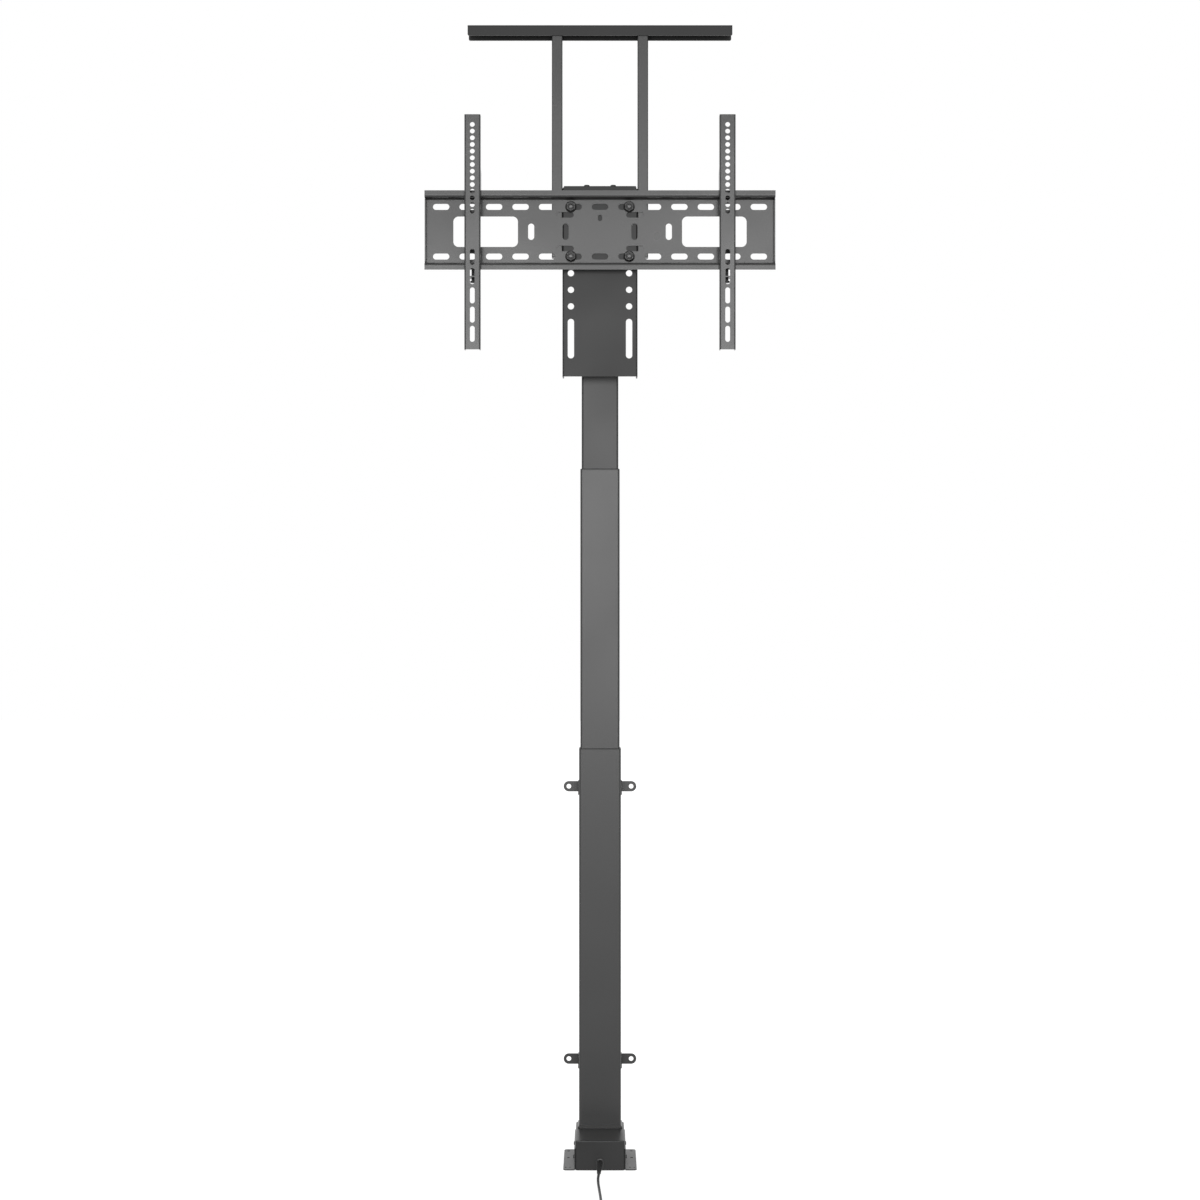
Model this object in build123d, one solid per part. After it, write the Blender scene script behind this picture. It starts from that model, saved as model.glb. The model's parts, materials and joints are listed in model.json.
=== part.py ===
from build123d import *

import math
import os

# Electric lift column for a screen, fully extended. Sizes in millimetres.
# X runs across, the screen side faces -Y, Z is up.
# The origin is on the floor, under the column's axis.
# Sizes called front, back or setback are measured forward, towards -Y.

# Column: three telescoping steel tubes
outer_width = 80.0
outer_depth = 50.0
tube_wall = 1.5
tube_gap = 1.0
tube_corner = 4.0
outer_tube_length = 720.0
stage_stroke = 500.0
middle_exposed = 33.5
inner_exposed = 29.5
middle_foot_gap = 42.5
inner_foot_gap = 33.5

# Guide rings and slide pads between the tubes
ring_height = 3.0
ring_chamfer = 1.2
ring_skirt_length = 40.0
slide_clearance = 0.3
pad_length = 30.0
pad_slot_width = 18.0

# Base housing
cover_width = 92.0
cover_front = 125.0
cover_height = 55.0
cover_sheet = 1.5
cover_corner = 3.0
cover_top_radius = 2.0
cover_bottom_chamfer = 4.0
notch_width = 15.0
notch_height = 22.0
plate_sheet = 2.0
plate_wall_height = 36.0
bend_inside = 1.0
collar_margin = 2.5
collar_height = 4.0
collar_chamfer = 2.0

# Foot angles
foot_sheet = 2.0
foot_width = 22.5
foot_wall_height = 40.0
foot_corner = 6.0
floor_hole_spread = 120.0
floor_hole_rear = 12.0
floor_hole_pitch = 50.0
floor_hole_radius = 2.75
pilot_hole_setback = 15.0
pilot_hole_spread = 8.0
pilot_hole_radius = 1.6
foot_screw_setbacks = (25.0, 125.0)
foot_screw_height = 20.0

# Drive
case_width = 76.0
case_front = 28.0
case_fillet = 3.0
spigot_rise = 30.0
motor_radius = 22.0
motor_length = 78.0
motor_axis_height = 28.0
motor_flange_width = 62.0
motor_flange_height = 44.0
motor_flange_thickness = 4.0
motor_screw_spread = 52.5
motor_bell_radius = 14.0
motor_bell_length = 5.0
spindle_radius = 8.0
spindle_wall = 4.0
running_gap = 0.05
sleeve_gap = 1.0
spindle_spare = 22.5
spindle_foot_height = 20.0
nut_height = 20.0
nut_flange = 6.0
nut_hub_wall = 5.0
nut_rib = 4.0
bearing_height = 12.0
lower_bearing_wall = 9.0
upper_bearing_wall = 7.0
bearing_groove = 1.0

# Wall lugs, welded to the outer tube
lug_sheet = 2.0
lug_ear_height = 20.0
lug_cheek_above = 12.0
lug_cheek_below = 15.0
lug_cheek_length = 22.0
lug_hole_spread = 120.0
lug_hole_radius = 4.5
lug_heights = {"lower": 177.0, "upper": 702.0}

# Head bracket and the carrier that holds it off the column
bracket_width = 142.0
bracket_height = 360.0
bracket_sheet = 2.5
bracket_front = 60.0
bracket_flange = 40.0
bracket_chamfer = 3.0
bracket_column_spread = 110.0
bracket_pitch = 31.25
bracket_hole_radius = 6.0
bracket_hole_rows = 7
bracket_first_row = 40.0
bracket_slot_length = 75.0
bracket_slot_gap = 61.0
carrier_width = 70.0
carrier_height = 27.0
carrier_sheet = 3.0
plug_height = 20.0
head_screw_spread = 50.0
head_screw_front = 50.0

# Rail plate
rail_width = 660.0
rail_height = 149.0
rail_depth = 22.0
rail_sheet = 2.0
rail_bend = 3.0
rail_lip = 13.0
rail_end_flange = 15.0
rail_end_relief = 1.0
rail_slot_rise = 93.75
rail_slot_length = 31.0
rail_slot_width = 11.5
rail_slot_pitch = 50.0
rail_slots_per_row = 13
window_width = 122.0
window_height = 57.6
window_corner = 10.0
window_spread = 432.0
upright_slot_spreads = (130.0, 260.0)
level_slot_length = 33.0
level_slot_width = 10.6
level_slot_spread = 132.0
level_slot_pitch = 63.6
sight_hole_length = 12.0
sight_hole_width = 8.0
sight_hole_rise = 26.0

# Screen arms
arm_width = 30.0
arm_height = 440.0
arm_above_rail = 139.0
arm_sheet = 2.0
arm_front = 100.0
arm_flange = 18.0
arm_corner = 3.0
arm_end_margin = 91.0
arm_hole_radius = 4.5
arm_hole_count = 14
arm_hole_pitch = 12.5
arm_hole_margin = 19.0
arm_slot_count = 5
arm_slot_length = 30.0
arm_slot_width = 9.0
arm_slot_pitch = 36.0
arm_slot_margin = 29.0
hook_clearance = 0.3
hook_side_gap = 1.5
hook_depth = 11.0
hook_rise = 45.0
flange_slope = 8.0
lock_relief = 33.0

# Lock screws
lock_tab_sheet = 2.0
lock_tab_drop = 14.2
lock_tab_margin = 6.0
lock_radius = 3.0
lock_head_radius = 5.5
lock_head_height = 3.5
lock_head_gap = 4.5

# Lid frame
upright_size = 20.0
upright_wall = 1.5
upright_corner = 2.0
upright_below_row = 1.0
upright_plug_cap = 2.0
upright_plug_depth = 12.0
upright_screw_drops = (25.0, 105.0)
lid_length = 500.0
lid_depth = 40.0
lid_flange = 20.0
lid_sheet = 2.0
lid_corner = 3.0
lid_top = 2147.0
lid_hole_radius = 2.5
lid_hole_spreads = (80.0, 440.0)

# Cord: its route from the boot to the coil is chosen by hand
cord_radius = 2.5
cord_exit_height = 15.0
boot_base_radius = 5.5
boot_tip_radius = 3.6
gland_outside = 1.0
cord_route = [
    (-2.2, -163.0, 4.8),
    (-2.7, -171.4, 2.55),
    (-3.6, -188.0, 2.55),
    (-3.4, -220.0, 2.55),
    (-1.5, -265.0, 2.55),
    (1.0, -315.0, 2.55),
    (2.2, -360.0, 2.55),
    (2.0, -392.0, 2.55),
]
coil_mean_radius = 30.0
coil_columns = 4
coil_layers = 2
coil_centre = (-35.5, -405.0)
coil_corner = 2.4
tail_angle = 225.0
tail_length = 24.0
tail_height = 7.1
connector_radius = 7.0
connector_length = 30.0
connector_collar = 6.0
connector_neck = 9.0

# Fasteners
m10_radius = 5.0
m10_head_across = 17.0
m10_head_height = 6.4
m10_nut_height = 8.0
m10_thread_spare = 2.0
m10_washer_radius = 10.5
m10_washer_thickness = 2.0
m6_radius = 3.0
m5_radius = 2.5
m4_radius = 2.0
blind_hole_depth = 8.0
head_screw_reach = 10.0
screw_gap = 0.2

# Places worked out from the sizes
column_back = outer_depth / 2
column_side = outer_width / 2
nest_step = 2 * (tube_wall + tube_gap)
middle_width = outer_width - nest_step
middle_depth = outer_depth - nest_step
inner_width = middle_width - nest_step
inner_depth = middle_depth - nest_step
pad_wall = tube_gap - slide_clearance
outer_bottom = cover_height
outer_tube_top = outer_bottom + outer_tube_length
outer_top = outer_tube_top + ring_height
middle_bottom = outer_bottom + middle_foot_gap + stage_stroke
middle_top = outer_top + middle_exposed + stage_stroke
middle_tube_top = middle_top - ring_height
inner_bottom = middle_bottom + inner_foot_gap + stage_stroke
inner_top = middle_top + inner_exposed + stage_stroke

cover_depth = cover_front + column_back
cover_centre = (cover_front - column_back) / 2
cover_inner_width = cover_width - 2 * cover_sheet
cover_inner_back = cover_sheet - column_back
cover_inner_front = cover_front - cover_sheet
cover_bend = cover_corner - cover_sheet
foot_wall_face = cover_width / 2 + foot_sheet
floor_hole_fronts = (-floor_hole_rear, floor_hole_pitch - floor_hole_rear)
foot_screw_fronts = [cover_front - setback for setback in foot_screw_setbacks]
spigot_width = outer_width - 2 * tube_wall - 2 * slide_clearance
spigot_depth = outer_depth - 2 * tube_wall - 2 * slide_clearance
spigot_corner = tube_corner - tube_wall
spigot_top = outer_bottom + spigot_rise
column_screw_height = outer_bottom + spigot_rise / 2
case_screw_spots = [(x * case_width / 3, y * case_front / 2) for x in (-1, 1) for y in (-1, 1)]

sleeve_inner_radius = spindle_radius + sleeve_gap
sleeve_radius = sleeve_inner_radius + spindle_wall
upper_spindle_bottom = middle_bottom + nut_height
upper_spindle_top = inner_bottom + nut_height + spindle_spare
lower_spindle_top = upper_spindle_bottom + spindle_spare

bracket_top = inner_top + bracket_sheet
bracket_bottom = bracket_top - bracket_height
top_row = bracket_top - bracket_first_row
hole_rows = [top_row - row * bracket_pitch for row in range(bracket_hole_rows)]
bracket_side = bracket_width / 2
head_screw_fronts = (0.0, head_screw_front)

web_back = bracket_front
web_front = web_back + rail_sheet
lip_front = web_back + rail_depth
rail_centre = top_row - rail_slot_rise / 2
rail_top = rail_centre + rail_height / 2
rail_bottom = rail_centre - rail_height / 2
trough_floor = rail_top - rail_lip + rail_sheet
lower_flange_under = rail_bottom + rail_lip - rail_sheet
rail_bolt_spots = [(x, z) for x in (-1, 1) for z in (top_row, top_row - rail_slot_rise)]

arm_top = rail_top + arm_above_rail
arm_bottom = arm_top - arm_height
arm_spread = rail_width - 2 * arm_end_margin
arm_flange_back = arm_front - arm_flange
arm_holes = [arm_top - arm_hole_margin - i * arm_hole_pitch for i in range(arm_hole_count)]
arm_slots = [arm_bottom + arm_slot_margin + i * arm_slot_pitch for i in range(arm_slot_count)]
hook_front = lip_front - rail_sheet - hook_side_gap
hook_back = hook_front - hook_depth
pocket_front = lip_front + hook_side_gap
lock_tab_top = rail_bottom - lock_tab_drop
lock_tab_bottom = lock_tab_top - lock_tab_sheet
lock_front = lip_front - rail_sheet - rail_bend - lock_radius
lock_tab_reach = arm_front - arm_sheet - lock_front + lock_tab_margin
lock_tip = lower_flange_under - hook_clearance
lock_head_top = lock_tab_bottom - lock_head_gap

upright_x = bracket_side + upright_size / 2
upright_front = web_back - upright_size / 2
upright_bottom = top_row - rail_slot_rise - upright_below_row
upright_tube_bottom = upright_bottom + upright_plug_cap
upright_top = lid_top - lid_sheet
upright_bore = upright_size - 2 * upright_wall
upright_screw_heights = [bracket_top - drop for drop in upright_screw_drops]
lid_front = web_back + bend_inside + lid_sheet
lid_centre = lid_front - lid_depth / 2

cord_diameter = 2 * cord_radius
coil_width = coil_columns * cord_diameter
coil_height = coil_layers * cord_diameter
coil_outer_turn = coil_mean_radius + (coil_width - cord_diameter) / 2


def along_x(sketch, front, z, start, end):
    """Solid of a sketch across the column, between two places along X."""
    return extrude(Plane.YZ.offset(start) * Pos(-front, z) * sketch, end - start)


def along_y(sketch, x, z, back, front):
    """Solid of an upright sketch, from one distance forward of the axis to a larger one."""
    return extrude(Plane.XZ.offset(back) * Pos(x, z) * sketch, front - back)


def along_z(sketch, x, front, bottom, top):
    """Solid of a level sketch, between two heights."""
    return extrude(Pos(x, -front, bottom) * sketch, top - bottom)


def group(pieces):
    """Loose solids of one kind, kept as one sub-part."""
    return Compound([solid for piece in pieces for solid in piece.solids()])


def sheet_strip(points, sheet, bend=bend_inside):
    """Section of bent sheet, given by the middle line of its thickness and its inside radius."""
    middle_line = FilletPolyline(*points, radius=bend + sheet / 2)
    return trace(middle_line, line_width=sheet)


def rounded_tube(width, depth, wall, corner, x, front, bottom, top):
    """Upright rectangular tube."""
    outline = RectangleRounded(width, depth, corner)
    bore = RectangleRounded(width - 2 * wall, depth - 2 * wall, corner - wall)
    return along_z(outline - bore, x, front, bottom, top)


def outline_at_column(inset):
    """Outer tube's outline, drawn in by an inset."""
    return RectangleRounded(outer_width - 2 * inset, outer_depth - 2 * inset, tube_corner - inset)


def pan_screw(radius, length):
    """Screw that points down, with its flat head above the origin and a cross recess."""
    head_radius = 1.8 * radius
    head_height = 1.1 * radius
    head = Cylinder(head_radius, head_height, align=(Align.CENTER, Align.CENTER, Align.MIN))
    head = fillet(head.edges().sort_by(Axis.Z)[-1], head_height / 2)
    shank = Cylinder(radius, length, align=(Align.CENTER, Align.CENTER, Align.MAX))
    recess = Rectangle(2 * radius, radius / 3) + Rectangle(radius / 3, 2 * radius)
    return head + shank - along_z(recess, 0, 0, head_height / 2, head_height)


def sunk_screw(radius, head_height, length):
    """Screw that points down from a flat head flush with the origin."""
    head = Cone(radius, 1.8 * radius, head_height, align=(Align.CENTER, Align.CENTER, Align.MAX))
    shank = Cylinder(radius, length - head_height, align=(Align.CENTER, Align.CENTER, Align.MAX))
    return head + Pos(0, 0, -head_height) * shank


def hexagon(across_flats):
    """Regular hexagon with corners up and down."""
    return RegularPolygon(across_flats / math.sqrt(3), 6, rotation=90)


def base_cover():
    """Folded sheet box, open below, with the column's opening on top and a cord notch in front."""
    outline = RectangleRounded(cover_width, cover_depth, cover_corner)
    cover = along_z(outline, 0, cover_centre, 0, cover_height)
    cover = fillet(cover.faces().sort_by(Axis.Z)[-1].edges(), cover_top_radius)
    inner_depth_of_cover = cover_depth - 2 * cover_sheet
    inside = RectangleRounded(cover_inner_width, inner_depth_of_cover, cover_corner - cover_sheet)
    cover -= along_z(inside, 0, cover_centre, 0, cover_height - cover_sheet)
    cover -= along_z(outline_at_column(tube_wall), 0, 0, 0, cover_height)
    cover -= along_y(cord_notch(0), 0, 0, cover_inner_front, cover_front)
    corner_cut = Rectangle(cover_bottom_chamfer, cover_bottom_chamfer, rotation=45)
    for side in (-1, 1):
        cover -= along_y(corner_cut, side * cover_width / 2, 0, cover_inner_front, cover_front)
        cover -= foot_screw_holes(side)
    return cover


def cord_notch(inset):
    """Arched notch that stands on the floor line."""
    radius = notch_width / 2 - inset
    springing = notch_height - notch_width / 2
    arch = Pos(0, springing) * Circle(radius)
    return arch + Pos(0, (springing + inset) / 2) * Rectangle(2 * radius, springing - inset)


def foot_screw_holes(side):
    """Cutters for the screws through foot, cover and plate on one side."""
    start, end = sorted((side * cover_width / 4, side * cover_width))
    hole = Circle(m4_radius + screw_gap)
    return [along_x(hole, front, foot_screw_height, start, end) for front in foot_screw_fronts]


def base_plate():
    """Channel inside the cover that carries the gear case and takes the foot screws."""
    half = cover_inner_width / 2 - plate_sheet / 2
    low = plate_sheet / 2
    section = [(-half, plate_wall_height), (-half, low), (half, low), (half, plate_wall_height)]
    back = cover_inner_back + cover_bend
    plate = along_y(sheet_strip(section, plate_sheet), 0, 0, back, cover_inner_front - cover_bend)
    for side in (-1, 1):
        plate -= foot_screw_holes(side)
    for x, y in case_screw_spots:
        plate -= Pos(x, y, 0) * Rot(180, 0, 0) * sunk_screw(m5_radius + screw_gap, plate_sheet, 2 * plate_sheet)
    return plate


def foot(side):
    """Bent angle beside the cover: a wall against it and a flange with the floor holes."""
    wall_x = foot_wall_face - foot_sheet / 2
    edge_x = cover_width / 2 + foot_width
    section = [(wall_x, foot_wall_height), (wall_x, foot_sheet / 2), (edge_x, foot_sheet / 2)]
    angle = along_y(sheet_strip(section, foot_sheet), 0, 0, -column_back, cover_front)
    outer_edges = angle.edges().filter_by(Axis.Z).group_by(Axis.X)[-1]
    angle = fillet(outer_edges, foot_corner)
    centre_x = floor_hole_spread / 2
    for front in floor_hole_fronts:
        angle -= along_z(Circle(floor_hole_radius), centre_x, front, 0, foot_sheet)
    for offset in (-pilot_hole_spread / 2, pilot_hole_spread / 2):
        front = cover_front - pilot_hole_setback
        angle -= along_z(Circle(pilot_hole_radius), centre_x + offset, front, 0, foot_sheet)
    angle -= foot_screw_holes(1)
    return angle if side > 0 else mirror(angle, about=Plane.YZ)


def foot_screws():
    """Screws driven inwards through the foot walls."""
    length = foot_sheet + cover_sheet + plate_sheet + 2
    screw = pan_screw(m4_radius, length)
    pieces = []
    for side in (-1, 1):
        for front in foot_screw_fronts:
            place = Plane((side * foot_wall_face, -front, foot_screw_height), z_dir=(side, 0, 0))
            pieces.append(place * screw)
    return group(pieces)


def gear_case():
    """Cast block under the column, with a spigot up into the outer tube and a bearing seat."""
    depth = case_front - cover_inner_back
    middle = (case_front + cover_inner_back) / 2
    block_top = cover_height - cover_sheet
    case = along_z(RectangleRounded(case_width, depth, case_fillet), 0, middle, plate_sheet, block_top)
    spigot = RectangleRounded(spigot_width, spigot_depth, spigot_corner)
    case += along_z(spigot, 0, 0, block_top, spigot_top)
    case -= along_z(Circle(spindle_radius + running_gap), 0, 0, spindle_foot_height, spigot_top)
    seat = Circle(spindle_radius + running_gap + lower_bearing_wall)
    case -= along_z(seat, 0, 0, spigot_top - bearing_height, spigot_top)
    for x, y in case_screw_spots:
        case -= along_z(Circle(m5_radius), x, -y, plate_sheet, 3 * m5_radius + plate_sheet)
    for side in (-1, 1):
        x = side * motor_screw_spread / 2
        case -= along_y(Circle(m4_radius), x, motor_axis_height, case_front - blind_hole_depth, case_front)
        x = side * head_screw_spread / 2
        back_end = blind_hole_depth - column_back
        case -= along_y(Circle(m4_radius), x, column_screw_height, -column_back, back_end)
    return case


def case_screws():
    """Flush screws up through the base plate."""
    screw = sunk_screw(m5_radius, plate_sheet, 2 * plate_sheet + 2 * m5_radius)
    return group([Pos(x, y, 0) * Rot(180, 0, 0) * screw for x, y in case_screw_spots])


def motor():
    """Round motor that lies in front of the gear case."""
    flange = RectangleRounded(motor_flange_width, motor_flange_height, motor_flange_height / 4)
    for side in (-1, 1):
        flange -= Pos(side * motor_screw_spread / 2, 0) * Circle(m4_radius + screw_gap)
    can_back = case_front + motor_flange_thickness
    can_front = can_back + motor_length
    body = along_y(flange, 0, motor_axis_height, case_front, can_back)
    can = along_y(Circle(motor_radius), 0, motor_axis_height, can_back, can_front)
    can = fillet(can.faces().sort_by(Axis.Y)[0].edges(), motor_bell_length / 2)
    bell_front = can_front + motor_bell_length
    return body + can + along_y(Circle(motor_bell_radius), 0, motor_axis_height, can_front, bell_front)


def motor_screws():
    """Screws through the motor's flange into the gear case."""
    front = case_front + motor_flange_thickness
    screw = pan_screw(m4_radius, motor_flange_thickness + 6)
    spots = [side * motor_screw_spread / 2 for side in (-1, 1)]
    return group([Plane((x, -front, motor_axis_height), z_dir=(0, -1, 0)) * screw for x in spots])


def base_collar():
    """Bevelled collar round the column's foot, open at the back so that the back stays flat."""
    outline = RectangleRounded(outer_width + 2 * collar_margin, outer_depth + 2 * collar_margin, tube_corner)
    collar = along_z(outline, 0, 0, cover_height, cover_height + collar_height)
    collar = chamfer(collar.faces().sort_by(Axis.Z)[-1].edges(), collar_chamfer)
    collar -= along_z(outline_at_column(0), 0, 0, cover_height, cover_height + collar_height)
    behind = Rectangle(2 * outer_width, outer_depth)
    return collar - along_z(behind, 0, -outer_depth, cover_height, cover_height + collar_height)


def outer_tube():
    """Fixed tube, with two sunk screw holes low on its back."""
    tube = rounded_tube(
        outer_width, outer_depth, tube_wall, tube_corner, 0, 0, outer_bottom, outer_tube_top
    )
    cutter = sunk_screw(m4_radius + screw_gap, tube_wall, 4 * tube_wall)
    for place in column_screw_places():
        tube -= place * cutter
    return tube


def column_screw_places():
    """Planes of the screws that hold the outer tube on the gear case's spigot."""
    spots = [side * head_screw_spread / 2 for side in (-1, 1)]
    return [Plane((x, column_back, column_screw_height), z_dir=(0, 1, 0)) for x in spots]


def column_screws():
    """Flush screws through the back of the outer tube."""
    screw = sunk_screw(m4_radius, tube_wall, 4 * tube_wall)
    return group([place * screw for place in column_screw_places()])


def guide_ring(width, depth, tube_top):
    """Plastic ring on a tube's end, with a skirt down the gap to the next tube."""
    cap = along_z(RectangleRounded(width, depth, tube_corner), 0, 0, tube_top, tube_top + ring_height)
    ring = chamfer(cap.faces().sort_by(Axis.Z)[-1].edges(), ring_chamfer)
    skirt = RectangleRounded(width - 2 * tube_wall, depth - 2 * tube_wall, tube_corner - tube_wall)
    ring += along_z(skirt, 0, 0, tube_top - ring_skirt_length, tube_top)
    slack = 2 * slide_clearance - nest_step
    passage = RectangleRounded(width + slack, depth + slack, tube_corner)
    return ring - along_z(passage, 0, 0, tube_top - ring_skirt_length, tube_top + ring_height)


def slide_pads(width, depth, tube_bottom):
    """Plastic sleeve round a sliding tube's lower end, with a relief slot at the back."""
    outside = RectangleRounded(width + 2 * pad_wall, depth + 2 * pad_wall, tube_corner)
    sleeve = outside - RectangleRounded(width, depth, tube_corner)
    pads = along_z(sleeve, 0, 0, tube_bottom, tube_bottom + pad_length)
    slot = Pos(0, tube_bottom + pad_length) * SlotOverall(pad_length, pad_slot_width / 2, rotation=90)
    return pads - along_y(slot, 0, 0, -depth / 2 - tube_gap, -depth / 2)


def spindle_nut(width, depth, bottom, bore_radius):
    """Moulded nut that fills a tube's lower end: a flange with a hub and two ribs."""
    flange = RectangleRounded(width - 2 * tube_wall, depth - 2 * tube_wall, tube_corner - tube_wall)
    nut = along_z(flange, 0, 0, bottom, bottom + nut_flange)
    nut += along_z(Rectangle(width - 4 * tube_wall, nut_rib), 0, 0, bottom, bottom + nut_height)
    nut += along_z(Circle(bore_radius + nut_hub_wall), 0, 0, bottom, bottom + nut_height)
    return nut - along_z(Circle(bore_radius), 0, 0, bottom, bottom + nut_height)


def ball_bearing(bottom, bore_radius, wall):
    """Bearing with a groove in each face between its races."""
    ring = along_z(Circle(bore_radius + wall) - Circle(bore_radius), 0, 0, bottom, bottom + bearing_height)
    groove = Circle(bore_radius + 0.7 * wall) - Circle(bore_radius + 0.3 * wall)
    ring -= along_z(groove, 0, 0, bottom, bottom + bearing_groove)
    top = bottom + bearing_height
    return ring - along_z(groove, 0, 0, top - bearing_groove, top)


def upper_spindle():
    """Hollow spindle that slides over the lower one."""
    section = Circle(sleeve_radius) - Circle(sleeve_inner_radius)
    return along_z(section, 0, 0, upper_spindle_bottom, upper_spindle_top)


def drive_bush():
    """Bush in the hollow spindle's foot, which the lower spindle turns."""
    section = Circle(sleeve_inner_radius) - Circle(spindle_radius + running_gap)
    return along_z(section, 0, 0, upper_spindle_bottom, upper_spindle_bottom + bearing_height)


def wall_lug(side, height):
    """Bent lug: a cheek on the tube's side and an ear flush with the tube's back."""
    ear_length = lug_hole_spread / 2 - column_side
    ear = Pos(ear_length / 2) * Rectangle(ear_length, lug_ear_height)
    ear += Pos(ear_length) * Circle(lug_ear_height / 2)
    ear -= Pos(ear_length) * Circle(lug_hole_radius)
    lug = along_y(ear, column_side, height, -column_back, lug_sheet - column_back)
    cheek_height = lug_cheek_above + lug_cheek_below
    cheek_middle = height + (lug_cheek_above - lug_cheek_below) / 2
    cheek = Rectangle(lug_cheek_length, cheek_height)
    cheek_front = lug_cheek_length / 2 - column_back
    cheek = along_x(cheek, cheek_front, cheek_middle, column_side, column_side + lug_sheet)
    front_edges = cheek.edges().filter_by(Axis.X).group_by(Axis.Y)[0]
    lug += fillet(front_edges, lug_cheek_length / 5)
    return lug if side > 0 else mirror(lug, about=Plane.YZ)


def head_plug():
    """Plug in the inner tube's head, threaded for the rear pair of top screws."""
    outline = RectangleRounded(inner_width - 2 * tube_wall, inner_depth - 2 * tube_wall, tube_corner - tube_wall)
    plug = along_z(outline, 0, 0, inner_top - plug_height, inner_top)
    for x in head_screw_xs():
        plug -= along_z(Circle(m6_radius), x, 0, inner_top - plug_height, inner_top)
    return plug


def head_screw_xs():
    """Places across of the screws in the bracket's top."""
    return (-head_screw_spread / 2, head_screw_spread / 2)


def head_carrier():
    """Channel, open below, that reaches from the inner tube's front to the bracket."""
    half = carrier_width / 2 - carrier_sheet / 2
    bottom = inner_top - carrier_height
    top = inner_top - carrier_sheet / 2
    section = [(-half, bottom), (-half, top), (half, top), (half, bottom)]
    back = inner_depth / 2
    front = bracket_front - bracket_sheet
    carrier = along_y(sheet_strip(section, carrier_sheet), 0, 0, back, front)
    for x in head_screw_xs():
        carrier -= along_z(Circle(m6_radius), x, head_screw_front, inner_top - carrier_sheet, inner_top)
    return carrier


def head_bracket():
    """Deep channel in front of the column, with a top flange over the carrier and the column."""
    half = bracket_side - bracket_sheet / 2
    web = bracket_sheet / 2 - bracket_front
    edge = bracket_flange - bracket_front
    section = [(-half, edge), (-half, web), (half, web), (half, edge)]
    bracket = along_z(sheet_strip(section, bracket_sheet), 0, 0, bracket_bottom, inner_top)
    corner = Rectangle(2 * bracket_chamfer, bracket_chamfer, rotation=45)
    for side in (-1, 1):
        cutter = along_y(corner, side * bracket_side, inner_top, bracket_front - bracket_flange, bracket_front)
        bracket -= cutter
    flange_depth = bracket_front + inner_depth / 2
    flange_middle = bracket_front - flange_depth / 2
    flange = Rectangle(bracket_width - 2 * bracket_chamfer, flange_depth)
    top = along_z(flange, 0, flange_middle, inner_top, bracket_top)
    top = fillet(top.edges().filter_by(Axis.X).group_by(Axis.Y)[0].sort_by(Axis.Z)[-1], bracket_sheet - 0.5)
    back_corners = top.edges().filter_by(Axis.Z).group_by(Axis.Y)[-1]
    top = chamfer(back_corners, 2 * bracket_chamfer)
    bracket += top
    holes = [Pos(x, z) * Circle(bracket_hole_radius) for x in bracket_column_xs() for z in hole_rows]
    slot_height = hole_rows[-1] - bracket_slot_gap
    slot = SlotOverall(bracket_slot_length, 2 * bracket_hole_radius, rotation=90)
    holes += [Pos(x, slot_height) * slot for x in bracket_column_xs()]
    for hole in holes:
        bracket -= along_y(hole, 0, 0, bracket_front - bracket_sheet, bracket_front)
    for x in head_screw_xs():
        for front in head_screw_fronts:
            bracket -= along_z(Circle(m6_radius + screw_gap), x, front, inner_top, bracket_top)
    hole = Circle(m6_radius + screw_gap)
    for z in upright_screw_heights:
        bracket -= along_x(hole, upright_front, z, -bracket_side, bracket_side)
    return bracket


def bracket_column_xs():
    """Places across of the bracket's two columns of holes."""
    return (-bracket_column_spread / 2, bracket_column_spread / 2)


def head_screws():
    """Screws in the bracket's top: a front pair into the carrier, a rear pair into the plug."""
    screw = pan_screw(m6_radius, bracket_sheet + head_screw_reach)
    spots = [(x, front) for x in head_screw_xs() for front in head_screw_fronts]
    return group([Pos(x, -front, bracket_top) * screw for x, front in spots])


def rail_cut_outs():
    """Slots and windows of the rail plate's web, about its centre."""
    slot = SlotOverall(rail_slot_length, rail_slot_width)
    rows = GridLocations(rail_slot_pitch, rail_slot_rise, rail_slots_per_row, 2)
    cuts = [place * slot for place in rows]
    window = RectangleRounded(window_width, window_height, window_corner)
    cuts += [Pos(side * window_spread / 2) * window for side in (-1, 1)]
    standing = SlotOverall(rail_slot_length, rail_slot_width, rotation=90)
    for spread in upright_slot_spreads:
        cuts += [Pos(side * spread / 2) * standing for side in (-1, 1)]
    level = SlotOverall(level_slot_length, level_slot_width)
    cuts += [place * level for place in GridLocations(level_slot_spread, level_slot_pitch, 2, 2)]
    cuts.append(Pos(0, sight_hole_rise) * SlotOverall(sight_hole_length, sight_hole_width, rotation=90))
    return cuts


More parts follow.
